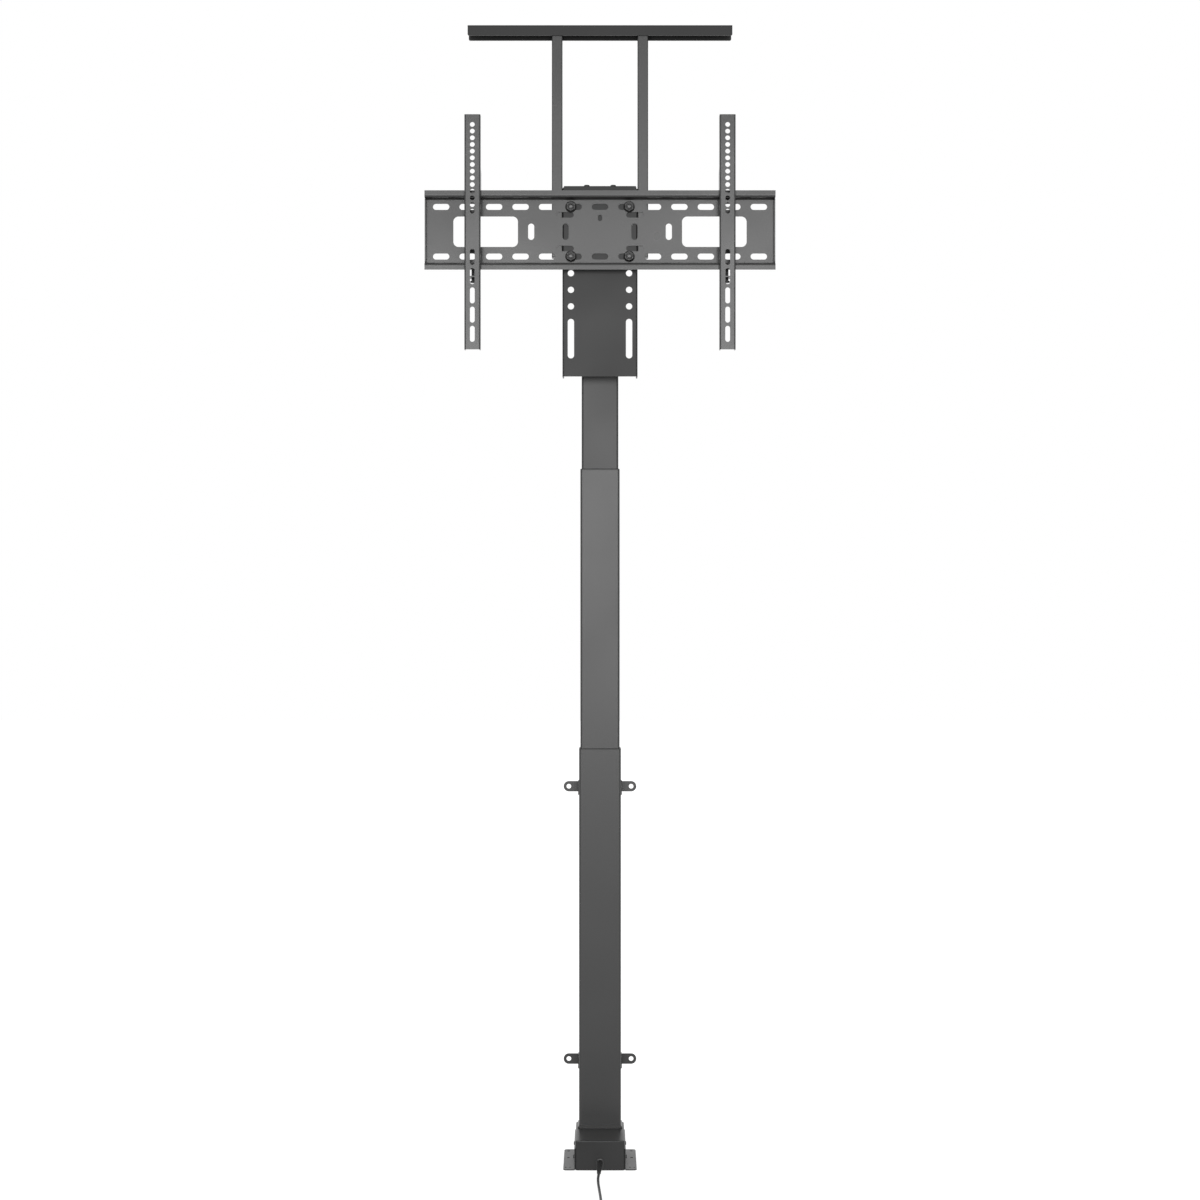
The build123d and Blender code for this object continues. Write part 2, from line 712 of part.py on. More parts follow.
def rail_plate():
    """Folded rail: a slotted web, trough flanges with lips above and below, and end flanges."""
    lip = rail_sheet / 2 - lip_front
    web = -web_back - rail_sheet / 2
    upper = trough_floor - rail_sheet / 2
    lower = lower_flange_under + rail_sheet / 2
    section = [(lip, rail_top), (lip, upper), (web, upper), (web, lower), (lip, lower), (lip, rail_bottom)]
    rail = along_x(sheet_strip(section, rail_sheet, rail_bend), 0, 0, -rail_width / 2, rail_width / 2)
    for cut in rail_cut_outs():
        rail -= along_y(cut, 0, rail_centre, web_back, web_front)
    end_height = upper - lower - rail_sheet - 2 * rail_end_relief
    flange = Rectangle(rail_sheet + rail_end_flange, end_height)
    middle = web_back + (rail_sheet + rail_end_flange) / 2
    end = along_x(flange, middle, rail_centre, rail_width / 2 - rail_sheet, rail_width / 2)
    front_corners = end.edges().filter_by(Axis.X).group_by(Axis.Y)[0]
    end = fillet(front_corners, rail_end_flange / 5)
    return rail + end + mirror(end, about=Plane.YZ)


def rail_bolt_places():
    """Places of the four bolts that hold the rail plate on the bracket."""
    return [(side * bracket_column_spread / 2, z) for side, z in rail_bolt_spots]


def rail_bolts():
    """Hexagon bolts through the rail and the bracket."""
    seat = web_front + m10_washer_thickness
    tip = bracket_front - bracket_sheet - m10_nut_height - m10_thread_spare
    pieces = []
    for x, z in rail_bolt_places():
        head = along_y(hexagon(m10_head_across), x, z, seat, seat + m10_head_height)
        head = chamfer(head.faces().sort_by(Axis.Y)[0].edges(), m10_head_height / 8)
        pieces.append(head + along_y(Circle(m10_radius), x, z, tip, seat))
    return group(pieces)


def rail_washers():
    """Washers under the bolt heads."""
    ring = Circle(m10_washer_radius) - Circle(m10_radius + screw_gap)
    front = web_front + m10_washer_thickness
    return group([along_y(ring, x, z, web_front, front) for x, z in rail_bolt_places()])


def rail_nuts():
    """Nuts behind the bracket."""
    ring = hexagon(m10_head_across) - Circle(m10_radius)
    front = bracket_front - bracket_sheet
    return group([along_y(ring, x, z, front - m10_nut_height, front) for x, z in rail_bolt_places()])


def arm_flange_outline():
    """Side view of an arm's flange: hook over the upper lip, pocket at the lower lip."""
    notch_top = rail_top + hook_clearance
    finger_bottom = trough_floor + hook_side_gap
    upper_pocket = rail_top - rail_lip - hook_side_gap
    lower_pocket = rail_bottom + rail_lip + hook_side_gap
    hook_top = trough_floor + hook_rise
    relief_bottom = rail_bottom - lock_relief
    points = [
        (arm_front, arm_bottom),
        (arm_front, arm_top),
        (arm_flange_back, arm_top),
        (arm_flange_back, hook_top + flange_slope),
        (hook_back, hook_top),
        (hook_back, finger_bottom),
        (hook_front, finger_bottom),
        (hook_front, notch_top),
        (pocket_front, notch_top),
        (pocket_front, upper_pocket),
        (arm_flange_back, upper_pocket),
        (arm_flange_back, lower_pocket),
        (pocket_front, lower_pocket),
        (pocket_front, relief_bottom),
        (arm_flange_back, relief_bottom - flange_slope),
        (arm_flange_back, arm_bottom),
    ]
    return make_face(Polyline(*[(-front, z) for front, z in points], close=True))


def screen_arm(side):
    """Channel that hangs on the rail by its hooks, with the screen's holes and slots."""
    half = arm_width / 2
    outline = arm_flange_outline()
    arm = along_x(outline, 0, 0, -half, arm_sheet - half)
    arm += along_x(outline, 0, 0, half - arm_sheet, half)
    face = Pos(0, (arm_top + arm_bottom) / 2) * Rectangle(arm_width, arm_height)
    arm += along_y(face, 0, 0, arm_front - arm_sheet, arm_front)
    arm = fillet(arm.edges().filter_by(Axis.Z).group_by(Axis.Y)[0], arm_corner)
    cuts = [Pos(0, z) * Circle(arm_hole_radius) for z in arm_holes]
    slot = SlotOverall(arm_slot_length, arm_slot_width, rotation=90)
    cuts += [Pos(0, z) * slot for z in arm_slots]
    for cut in cuts:
        arm -= along_y(cut, 0, 0, arm_front - arm_sheet, arm_front)
    tab = Rectangle(arm_width - 2 * arm_sheet, lock_tab_reach)
    tab_front = arm_front - arm_sheet - lock_tab_reach / 2
    tab = along_z(tab, 0, tab_front, lock_tab_bottom, lock_tab_top)
    hole = Circle(lock_radius + running_gap)
    arm += tab - along_z(hole, 0, lock_front, lock_tab_bottom, lock_tab_top)
    return Pos(side * arm_spread / 2, 0, 0) * arm


def lock_screw(side):
    """Screw in an arm's tab, whose tip stands behind the rail's lower lip."""
    x = side * arm_spread / 2
    shank = along_z(Circle(lock_radius), x, lock_front, lock_head_top, lock_tip)
    shank = chamfer(shank.faces().sort_by(Axis.Z)[-1].edges(), lock_radius / 4)
    head = along_z(Circle(lock_head_radius), x, lock_front, lock_head_top - lock_head_height, lock_head_top)
    head = fillet(head.faces().sort_by(Axis.Z)[0].edges(), lock_head_height / 3)
    recess = Rectangle(lock_head_radius, 1.2) + Rectangle(1.2, lock_head_radius)
    bottom = lock_head_top - lock_head_height
    return head + shank - along_z(recess, x, lock_front, bottom, bottom + lock_head_height / 2)


def upright(side):
    """Square tube of the lid frame, with the holes for its screws on its inner side."""
    x = side * upright_x
    tube = rounded_tube(
        upright_size, upright_size, upright_wall, upright_corner, x, upright_front, upright_tube_bottom, upright_top
    )
    near, far = sorted((side * bracket_side, side * upright_x))
    for z in upright_screw_heights:
        tube -= along_x(Circle(m6_radius), upright_front, z, near, far)
    return tube


def upright_screws():
    """Screws from inside the bracket's flanges into the uprights."""
    inside = bracket_side - bracket_sheet
    screw = pan_screw(m6_radius, bracket_sheet + upright_wall + 8)
    pieces = []
    for side in (-1, 1):
        for z in upright_screw_heights:
            pieces.append(Plane((side * inside, -upright_front, z), z_dir=(-side, 0, 0)) * screw)
    return group(pieces)


def upright_plugs():
    """Plastic plugs in the lower ends of the uprights."""
    cap = RectangleRounded(upright_size, upright_size, upright_corner)
    stem = Rectangle(upright_bore, upright_bore)
    stem = fillet(stem.vertices(), upright_corner - upright_wall)
    pieces = []
    for side in (-1, 1):
        x = side * upright_x
        plug = along_z(cap, x, upright_front, upright_bottom, upright_tube_bottom)
        stem_top = upright_tube_bottom + upright_plug_depth
        pieces.append(plug + along_z(stem, x, upright_front, upright_tube_bottom, stem_top))
    return group(pieces)


def lid_inserts():
    """Threaded blocks in the upper ends of the uprights."""
    block = Rectangle(upright_bore, upright_bore)
    block = fillet(block.vertices(), upright_corner - upright_wall)
    block -= Circle(m5_radius)
    bottom = upright_top - upright_plug_depth
    return group([along_z(block, side * upright_x, upright_front, bottom, upright_top) for side in (-1, 1)])


def lid_bar():
    """Inverted channel that carries the lid."""
    front = lid_sheet / 2 - lid_front
    back = front + lid_depth - lid_sheet
    top = lid_top - lid_sheet / 2
    bottom = lid_top - lid_flange
    section = [(front, bottom), (front, top), (back, top), (back, bottom)]
    bar = along_x(sheet_strip(section, lid_sheet), 0, 0, -lid_length / 2, lid_length / 2)
    low_corners = bar.edges().filter_by(Axis.Y).group_by(Axis.Z)[0]
    bar = fillet(low_corners, lid_corner)
    for spread in lid_hole_spreads:
        for side in (-1, 1):
            bar -= along_z(Circle(lid_hole_radius), side * spread / 2, lid_centre, upright_top, lid_top)
    for side in (-1, 1):
        place = Pos(side * upright_x, -upright_front, lid_top)
        bar -= place * sunk_screw(m5_radius + screw_gap, lid_sheet, 2 * lid_sheet)
    return bar


def lid_screws():
    """Flush screws down through the lid bar into the uprights."""
    screw = sunk_screw(m5_radius, lid_sheet, lid_sheet + upright_plug_depth - 2)
    return group([Pos(side * upright_x, -upright_front, lid_top) * screw for side in (-1, 1)])


def cord_gland():
    """Plug in the cover's notch with a tapered boot that droops towards the floor."""
    back = cover_inner_front - cover_bend
    gland = along_y(cord_notch(screw_gap / 2), 0, 0, back, cover_front + gland_outside)
    start = Vector(0, -cover_front, cord_exit_height)
    tip = Vector(*cord_route[0])
    boot = Cone(
        boot_base_radius, boot_tip_radius, (tip - start).length, align=(Align.CENTER, Align.CENTER, Align.MIN)
    )
    return gland + Plane(start, z_dir=tip - start) * boot


def cord():
    """Free stretch of the cord: straight runs joined by arcs as large as the runs allow."""
    points = [Vector(*point) for point in cord_route]
    radii = []
    for before, corner, after in zip(points, points[1:], points[2:]):
        turn = (corner - before).get_angle(after - corner)
        run = min((corner - before).length, (after - corner).length)
        radii.append(0.45 * run / math.tan(math.radians(turn / 2)))
    path = FilletPolyline(*points, radius=radii)
    tube = sweep(Plane(points[0], z_dir=points[1] - points[0]) * Circle(cord_radius), path=path)
    section_volume = math.pi * cord_radius**2 * path.length
    print("cord arc radii", [round(radius, 1) for radius in radii])
    print("cord length", round(path.length, 1), "volume ratio", round(tube.volume / section_volume, 4))
    return tube


def cord_coil():
    """Outer shape of the wound length of the cord."""
    section = RectangleRounded(coil_width, coil_height, coil_corner)
    ring = revolve(Plane.XZ * Pos(coil_mean_radius, coil_height / 2) * section, Axis.Z)
    turns = coil_columns * coil_layers - tail_angle / 360
    print("cord in the coil", round(turns * 2 * math.pi * coil_mean_radius, 1))
    return Pos(*coil_centre, 0) * ring


def tail_plane():
    """Where the cord leaves the coil's outer turn, facing along the cord."""
    angle = math.radians(tail_angle)
    x = coil_centre[0] + coil_outer_turn * math.cos(angle)
    y = coil_centre[1] + coil_outer_turn * math.sin(angle)
    return Plane((x, y, tail_height), z_dir=(math.sin(angle), -math.cos(angle), 0))


def cord_tail():
    """Last stretch of the cord, from the coil to the connector."""
    return tail_plane() * Cylinder(cord_radius, tail_length, align=(Align.CENTER, Align.CENTER, Align.MIN))


def connector():
    """Round plug of the motor lead: neck, grip and open metal collar."""
    grip = connector_length - connector_neck - connector_collar
    neck = Cone(
        boot_tip_radius, connector_radius - 1, connector_neck, align=(Align.CENTER, Align.CENTER, Align.MIN)
    )
    body = Pos(0, 0, connector_neck) * Cylinder(
        connector_radius, grip, align=(Align.CENTER, Align.CENTER, Align.MIN)
    )
    body = fillet(body.edges().filter_by(GeomType.CIRCLE), 1)
    collar = Circle(connector_radius - 1) - Circle(connector_radius - 2)
    shell = along_z(collar, 0, 0, connector_neck + grip, connector_length)
    return tail_plane().offset(tail_length) * (neck + body + shell)


parts = {
    "base_cover": base_cover(),
    "base_plate": base_plate(),
    "foot_left": foot(-1),
    "foot_right": foot(1),
    "foot_screws": foot_screws(),
    "gear_case": gear_case(),
    "case_screws": case_screws(),
    "motor": motor(),
    "motor_screws": motor_screws(),
    "lower_bearing": ball_bearing(
        spigot_top - bearing_height, spindle_radius + running_gap, lower_bearing_wall
    ),
    "base_collar": base_collar(),
    "outer_tube": outer_tube(),
    "column_screws": column_screws(),
    "outer_ring": guide_ring(outer_width, outer_depth, outer_tube_top),
    "lower_spindle": along_z(Circle(spindle_radius), 0, 0, spindle_foot_height + hook_clearance, lower_spindle_top),
    "middle_tube": rounded_tube(
        middle_width, middle_depth, tube_wall, tube_corner, 0, 0, middle_bottom, middle_tube_top
    ),
    "middle_ring": guide_ring(middle_width, middle_depth, middle_tube_top),
    "middle_pads": slide_pads(middle_width, middle_depth, middle_bottom),
    "lower_nut": spindle_nut(middle_width, middle_depth, middle_bottom, spindle_radius + running_gap),
    "upper_bearing": ball_bearing(upper_spindle_bottom, sleeve_radius + running_gap, upper_bearing_wall),
    "upper_spindle": upper_spindle(),
    "drive_bush": drive_bush(),
    "inner_tube": rounded_tube(
        inner_width, inner_depth, tube_wall, tube_corner, 0, 0, inner_bottom, inner_top
    ),
    "inner_pads": slide_pads(inner_width, inner_depth, inner_bottom),
    "upper_nut": spindle_nut(inner_width, inner_depth, inner_bottom, sleeve_radius + running_gap),
    "head_plug": head_plug(),
    "head_carrier": head_carrier(),
    "head_bracket": head_bracket(),
    "head_screws": head_screws(),
    "rail_plate": rail_plate(),
    "rail_bolts": rail_bolts(),
    "rail_washers": rail_washers(),
    "rail_nuts": rail_nuts(),
    "upright_left": upright(-1),
    "upright_right": upright(1),
    "upright_screws": upright_screws(),
    "upright_plugs": upright_plugs(),
    "lid_inserts": lid_inserts(),
    "lid_bar": lid_bar(),
    "lid_screws": lid_screws(),
    "arm_left": screen_arm(-1),
    "arm_right": screen_arm(1),
    "lock_screw_left": lock_screw(-1),
    "lock_screw_right": lock_screw(1),
    "cord_gland": cord_gland(),
    "cord": cord(),
    "cord_coil": cord_coil(),
    "cord_tail": cord_tail(),
    "connector": connector(),
}
for level, height in lug_heights.items():
    parts[f"wall_lug_{level}_left"] = wall_lug(-1, height)
    parts[f"wall_lug_{level}_right"] = wall_lug(1, height)

os.makedirs("parts", exist_ok=True)
for name, shape in parts.items():
    export_step(shape, f"parts/{name}.step")
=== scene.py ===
# %% [markdown]
# # Dressing an electric lift column for a screen
# The lift stands on the floor inside a cabinet. Three steel tubes slide out of each other and carry a
# slotted rail, two arms that a screen is screwed to, and a light frame that pushes the cabinet's lid up.
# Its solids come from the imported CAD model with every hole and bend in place. This script adds what CAD
# leaves out: the cord, weld beads, moulded ribs, and above all the finishes. Units are metres.

import json
import math

import bpy
from mathutils import Matrix, Vector

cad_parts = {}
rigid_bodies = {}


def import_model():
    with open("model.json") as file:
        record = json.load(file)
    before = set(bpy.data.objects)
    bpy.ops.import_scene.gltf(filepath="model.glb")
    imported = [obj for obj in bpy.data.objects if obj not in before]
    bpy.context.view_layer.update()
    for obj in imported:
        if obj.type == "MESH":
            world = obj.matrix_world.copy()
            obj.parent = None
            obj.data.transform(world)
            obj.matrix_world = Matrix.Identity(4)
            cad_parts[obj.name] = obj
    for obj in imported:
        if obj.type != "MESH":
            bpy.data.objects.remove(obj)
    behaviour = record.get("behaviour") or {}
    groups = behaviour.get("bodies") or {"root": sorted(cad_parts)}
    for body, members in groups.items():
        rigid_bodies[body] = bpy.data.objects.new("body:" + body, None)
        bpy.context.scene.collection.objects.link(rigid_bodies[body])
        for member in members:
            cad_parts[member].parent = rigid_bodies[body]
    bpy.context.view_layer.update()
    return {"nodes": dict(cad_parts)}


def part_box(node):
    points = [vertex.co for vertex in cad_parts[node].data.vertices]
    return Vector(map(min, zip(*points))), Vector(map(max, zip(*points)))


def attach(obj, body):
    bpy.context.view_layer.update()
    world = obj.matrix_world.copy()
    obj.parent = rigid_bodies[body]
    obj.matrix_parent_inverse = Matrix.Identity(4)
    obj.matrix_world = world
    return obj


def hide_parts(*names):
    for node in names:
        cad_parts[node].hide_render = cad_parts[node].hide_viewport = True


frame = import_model()
print("CAD nodes:", len(frame["nodes"]))

# %% [markdown]
# ## The camera
# The photograph was taken level, from far away: the lift's verticals stay parallel and the horizon falls on
# the middle of the picture. How fast the parts near the lens grow gives the distance, and the distance with
# the height of the picture gives the focal length. A camera object looks down its own -Z, so a quarter turn
# about X makes it look along +Y.

# %% Camera
FOCAL_PIXELS = 2191.0
PICTURE_PIXELS = 1200.0
SENSOR_WIDTH = 36.0
CAMERA_PLACE = (0.0, -4.2, 1.061)
QUARTER_TURN = math.radians(90)

camera_data = bpy.data.cameras.new("studio_camera")
camera_data.sensor_width = SENSOR_WIDTH
camera_data.lens = FOCAL_PIXELS / PICTURE_PIXELS * SENSOR_WIDTH
camera = bpy.data.objects.new("studio_camera", camera_data)
camera.location = CAMERA_PLACE
camera.rotation_euler = (QUARTER_TURN, 0, 0)
bpy.context.scene.collection.objects.link(camera)
bpy.context.scene.camera = camera
print("lens:", round(camera_data.lens, 1), "mm at", CAMERA_PLACE)

# %% [markdown]
# ## The cord's line
# The lift's lead leaves the base through a moulded boot, droops to the floor and runs out towards the
# viewer. What the photograph doesn't show of it is wound up just outside the picture. A NURBS curve suits a
# cord: it passes near its control points and never kinks, as a stiff sheath does. The free stretch is
# listed point by point.

# %% Cord sizes and the free stretch
CORD_RADIUS = 0.0025
CORD_DIAMETER = 2 * CORD_RADIUS
FLOOR_GAP = 0.0001
LAID_HEIGHT = CORD_RADIUS + FLOOR_GAP / 2
CORD_EXIT = (-0.0022, -0.163, 0.0048)
FREE_STRETCH = [
    CORD_EXIT,
    (-0.0027, -0.1714, LAID_HEIGHT),
    (-0.0036, -0.188, LAID_HEIGHT),
    (-0.0034, -0.22, LAID_HEIGHT),
    (-0.0015, -0.265, LAID_HEIGHT),
    (0.001, -0.315, LAID_HEIGHT),
    (0.0022, -0.36, LAID_HEIGHT),
    (0.002, -0.392, LAID_HEIGHT),
]
print("free stretch:", len(FREE_STRETCH), "points")

# %% [markdown]
# The winding is worked out: the lead winds inwards on the floor, climbs at the innermost turn and winds
# outwards again on top. Each layer moves over to its next turn in one short sector, so that the turns lie
# beside each other and never cross. The sectors are given in degrees from where the cord meets the winding.

# %% Points of the winding
COIL_CENTRE = Vector((-0.0355, -0.405, 0.0))
INNER_TURN = 0.0225
TURNS_IN_A_LAYER = 4
STEPS_PER_TURN = 18
LOWER_LAYER = CORD_RADIUS + FLOOR_GAP
UPPER_LAYER = 3 * CORD_RADIUS + FLOOR_GAP
SHIFT_IN = (295.0, 360.0)
CLIMB = (210.0, 290.0)
SHIFT_OUT = (140.0, 205.0)
LAST_ANGLE = 135.0


def eased(angle, zone):
    """How far a turn has moved over at an angle: 0 before the zone, 1 after it."""
    start, end = zone
    part = min(max((angle - start) / (end - start), 0.0), 1.0)
    return part * part * (3 - 2 * part)


def winding_point(travelled):
    """Place on the winding after so many degrees, clockwise from where the cord meets it."""
    turn, angle = divmod(travelled, 360.0)
    outward = turn - (TURNS_IN_A_LAYER - 1)
    if outward < 0:
        column = TURNS_IN_A_LAYER - 1 - turn - eased(angle, SHIFT_IN)
        height = LOWER_LAYER
    elif outward == 0:
        column = 0.0
        height = LOWER_LAYER + (UPPER_LAYER - LOWER_LAYER) * eased(angle, CLIMB)
    else:
        column = outward - 1 + eased(angle, SHIFT_OUT)
        height = UPPER_LAYER
    radius = (INNER_TURN + column * CORD_DIAMETER) / math.cos(math.pi / STEPS_PER_TURN)
    direction = math.radians(-angle)
    return COIL_CENTRE + Vector((radius * math.cos(direction), radius * math.sin(direction), height))


step = 360.0 / STEPS_PER_TURN
whole_angle = (2 * TURNS_IN_A_LAYER - 1) * 360.0 + LAST_ANGLE
winding = [winding_point(index * step) for index in range(1, int(whole_angle / step) + 1)]
print("winding:", len(winding), "points,", round(whole_angle / 360, 2), "turns")

# %% [markdown]
# ## The cord's curve
# The tail leaves the winding along its tangent and ends in the connector. Its end is held at the height
# that the connector's radius asks for. The curve's order is set after its points, because Blender lowers it
# on a spline with too few.

# %% Cord curve
OUTER_TURN = INNER_TURN + (TURNS_IN_A_LAYER - 1) * CORD_DIAMETER
DIAGONAL = math.sqrt(0.5)
TAIL_LENGTH = 0.024
TAIL_END_HEIGHT = 0.0071
TAIL_MIDDLE = 0.55
TAIL_MIDDLE_HEIGHT = 0.0072

tail_start = COIL_CENTRE + Vector((-OUTER_TURN * DIAGONAL, -OUTER_TURN * DIAGONAL, UPPER_LAYER))
tail_direction = Vector((-DIAGONAL, DIAGONAL, 0))
tail_end = tail_start + tail_direction * TAIL_LENGTH
tail_end.z = TAIL_END_HEIGHT
tail_middle = tail_start + tail_direction * (TAIL_LENGTH * TAIL_MIDDLE)
tail_middle.z = TAIL_MIDDLE_HEIGHT
cord_points = [Vector(point) for point in FREE_STRETCH] + winding + [tail_start, tail_middle, tail_end]

cord_curve = bpy.data.curves.new("cord_sheath", "CURVE")
cord_curve.dimensions = "3D"
cord_curve.bevel_depth = CORD_RADIUS
cord_curve.bevel_resolution = 4
cord_curve.resolution_u = 6
cord_curve.use_fill_caps = True
spline = cord_curve.splines.new("NURBS")
spline.points.add(len(cord_points) - 1)
for control, point in zip(spline.points, cord_points):
    control.co = (*point, 1.0)
spline.order_u = 3
spline.use_endpoint_u = True
cord = bpy.data.objects.new("cord_sheath", cord_curve)
bpy.context.scene.collection.objects.link(cord)

# %% [markdown]
# ## Helpers for modelling by hand
# Each new piece starts as a primitive and is shaped in edit mode. Operators work on what is selected, so
# everything is deselected before a primitive is added, and faces are picked by a rule on their place or
# normal. A face counts as looking along an axis when most of its normal points that way.

# %% Start a piece and shape it
FACING = 0.9


def deselect_all():
    """Nothing stays selected before a new primitive."""
    bpy.ops.object.select_all(action="DESELECT")


def start_piece(name, apply_turn=False):
    """Names the primitive that was just added and opens it in edit mode."""
    piece = bpy.context.object
    piece.name = name
    piece.data.name = name
    if apply_turn:
        bpy.ops.object.transform_apply(location=True, rotation=True, scale=True)
    bpy.ops.object.mode_set(mode="EDIT")
    return piece


def select_faces(piece, rule):
    """In edit mode, selects the faces whose centre and normal meet a rule."""
    bpy.ops.mesh.select_all(action="DESELECT")
    bpy.ops.object.mode_set(mode="OBJECT")
    for face in piece.data.polygons:
        face.select = rule(face.center, face.normal)
    count = sum(face.select for face in piece.data.polygons)
    bpy.ops.object.mode_set(mode="EDIT")
    bpy.ops.mesh.select_mode(type="FACE")
    return count


def extrude(move, scale=None):
    """Extrudes the selected faces by a vector and scales them about their middle."""
    bpy.ops.mesh.extrude_region_move(TRANSFORM_OT_translate={"value": move, "orient_type": "GLOBAL"})
    if scale:
        bpy.ops.transform.resize(value=scale)


def add_bevel(piece, width, segments=2, angle=40):
    """Rounds the piece's sharp edges."""
    bevel = piece.modifiers.new("rounding", "BEVEL")
    bevel.width = width
    bevel.segments = segments
    bevel.limit_method = "ANGLE"
    bevel.angle_limit = math.radians(angle)


print("a face may turn", round(math.degrees(math.acos(FACING))), "degrees away from its axis")

# %% [markdown]
# A finished piece has its place in its mesh and its object at the origin, as the CAD nodes have. Corners that
# fall on each other are merged, so that its mesh is closed.

# %% Place and close a piece
MERGE_DISTANCE = 0.00001


def apply_modifiers(piece):
    """Applies every modifier, in order."""
    bpy.context.view_layer.objects.active = piece
    for modifier in list(piece.modifiers):
        bpy.ops.object.modifier_apply(modifier=modifier.name)


def stand_along(piece, turn, place):
    """Turns the piece by a quaternion and puts its middle at a place."""
    piece.rotation_mode = "QUATERNION"
    piece.rotation_quaternion = turn
    piece.location = place


def close_piece(piece, body, smooth_angle=35):
    """Leaves edit mode, applies modifiers and place, smooths, and lets the piece ride."""
    if bpy.context.object.mode == "EDIT":
        bpy.ops.object.mode_set(mode="OBJECT")
    apply_modifiers(piece)
    deselect_all()
    piece.select_set(True)
    bpy.context.view_layer.objects.active = piece
    bpy.ops.object.transform_apply(location=True, rotation=True, scale=True)
    bpy.ops.object.mode_set(mode="EDIT")
    bpy.ops.mesh.select_all(action="SELECT")
    bpy.ops.mesh.remove_doubles(threshold=MERGE_DISTANCE)
    bpy.ops.mesh.normals_make_consistent(inside=False)
    bpy.ops.object.mode_set(mode="OBJECT")
    bpy.ops.object.shade_smooth_by_angle(angle=math.radians(smooth_angle))
    piece.select_set(False)
    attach(piece, body)
    print(piece.name, len(piece.data.polygons), "faces")


print("corners within", MERGE_DISTANCE * 1000, "mm are merged")

# %% [markdown]
# ## The strain relief
# Where the lead leaves the base it goes through a moulded boot: a tapered sleeve with grooves, so that it
# bends evenly and never sharply. It could be a turned profile, but extruding a disc ring by ring is how a
# person would draw it: out, in, out again, each rib a little smaller than the last.

# %% Ribbed boot
BOOT_START = Vector((0.0, -0.126, 0.015))
BOOT_BASE_RADIUS = 0.0055
BOOT_TIP_RADIUS = 0.0036
BOOT_RIBS = 8
GROOVE_WAIST = 0.82
GROOVE_SHARE = 0.35
RIB_SHARE = 1 - GROOVE_SHARE
UNDER_TOP = 0.4
BOOT_ROUNDING = 0.0002
boot_axis = Vector(CORD_EXIT) - BOOT_START
rib_pitch = boot_axis.length / (BOOT_RIBS + 1)


def taper(rib):
    """Size of the boot after so many ribs, as a share of its foot."""
    return 1 - (1 - BOOT_TIP_RADIUS / BOOT_BASE_RADIUS) * rib / BOOT_RIBS


deselect_all()
bpy.ops.mesh.primitive_cylinder_add(vertices=32, radius=BOOT_BASE_RADIUS, depth=rib_pitch)
boot = start_piece("boot_ribs")
for rib in range(BOOT_RIBS):
    groove = GROOVE_WAIST * taper(rib)
    stages = [
        (0.0, groove / taper(rib)),
        (GROOVE_SHARE * rib_pitch, 1.0),
        (0.0, taper(rib + 1) / groove),
        (RIB_SHARE * rib_pitch, 1.0),
    ]
    select_faces(boot, lambda centre, normal: normal.z > FACING and centre.z > (rib + UNDER_TOP) * rib_pitch)
    for rise, scale in stages:
        extrude((0, 0, rise), (scale, scale, 1))
bpy.ops.object.mode_set(mode="OBJECT")
add_bevel(boot, BOOT_ROUNDING, angle=50)
stand_along(boot, boot_axis.to_track_quat("Z", "Y"), BOOT_START + boot_axis.normalized() * (rib_pitch / 2))
close_piece(boot, "base", smooth_angle=30)

# %% [markdown]
# The plug that closes the cover's notch is an arch behind the boot's foot. Half a disc with its flat side
# drawn down to the floor gives the arch, and a bevel breaks its edges.

# %% Arched plug
NOTCH_WIDTH = 0.0148
NOTCH_SPRINGING = 0.0145
PLUG_BACK = -0.122
PLUG_FRONT = -0.126
PLUG_ROUNDING = 0.0004

deselect_all()
bpy.ops.mesh.primitive_cylinder_add(
    vertices=48,
    radius=NOTCH_WIDTH / 2,
    depth=PLUG_BACK - PLUG_FRONT,
    location=(0, (PLUG_BACK + PLUG_FRONT) / 2, NOTCH_SPRINGING),
    rotation=(QUARTER_TURN, 0, 0),
)
plug = start_piece("notch_plug")
bpy.ops.mesh.select_all(action="SELECT")
bpy.ops.mesh.bisect(
    plane_co=(0, 0, NOTCH_SPRINGING), plane_no=(0, 0, 1), use_fill=True, clear_inner=True, clear_outer=False
)
# The disc still carries its quarter turn, so its own -Y is the world's -Z, where the flat side looks.
count = select_faces(plug, lambda centre, normal: normal.y < -FACING)
extrude((0, 0, FLOOR_GAP - NOTCH_SPRINGING))
print("flat faces drawn down:", count)
bpy.ops.object.mode_set(mode="OBJECT")
add_bevel(plug, PLUG_ROUNDING, angle=50)
close_piece(plug, "base")

# %% [markdown]
# ## The connector
# The lead ends in a small round plug for the control box: a moulded body with grip ribs, a metal shell and
# contact pins inside it. The body is a disc extruded along its axis, with rings pushed in for the ribs. Each
# stage says how far the disc rises and how much wider or narrower it gets.

# %% Connector body
NECK_DISC = 0.001
GRIP_RIBS = 5
GRIP_PITCH = 0.0022
NECK_STAGES = [(0.001, 1.05), (0.003, 1.18), (0.0045, 1.5)]
RIB_STAGES = [(0.0001, 1.02), (GRIP_PITCH / 2, 1.0), (0.0002, 0.93), (GRIP_PITCH / 2, 1.0), (0.0001, 1.0542)]
NOSE_STAGES = [(0.0015, 1.0), (0.0002, 0.9)]

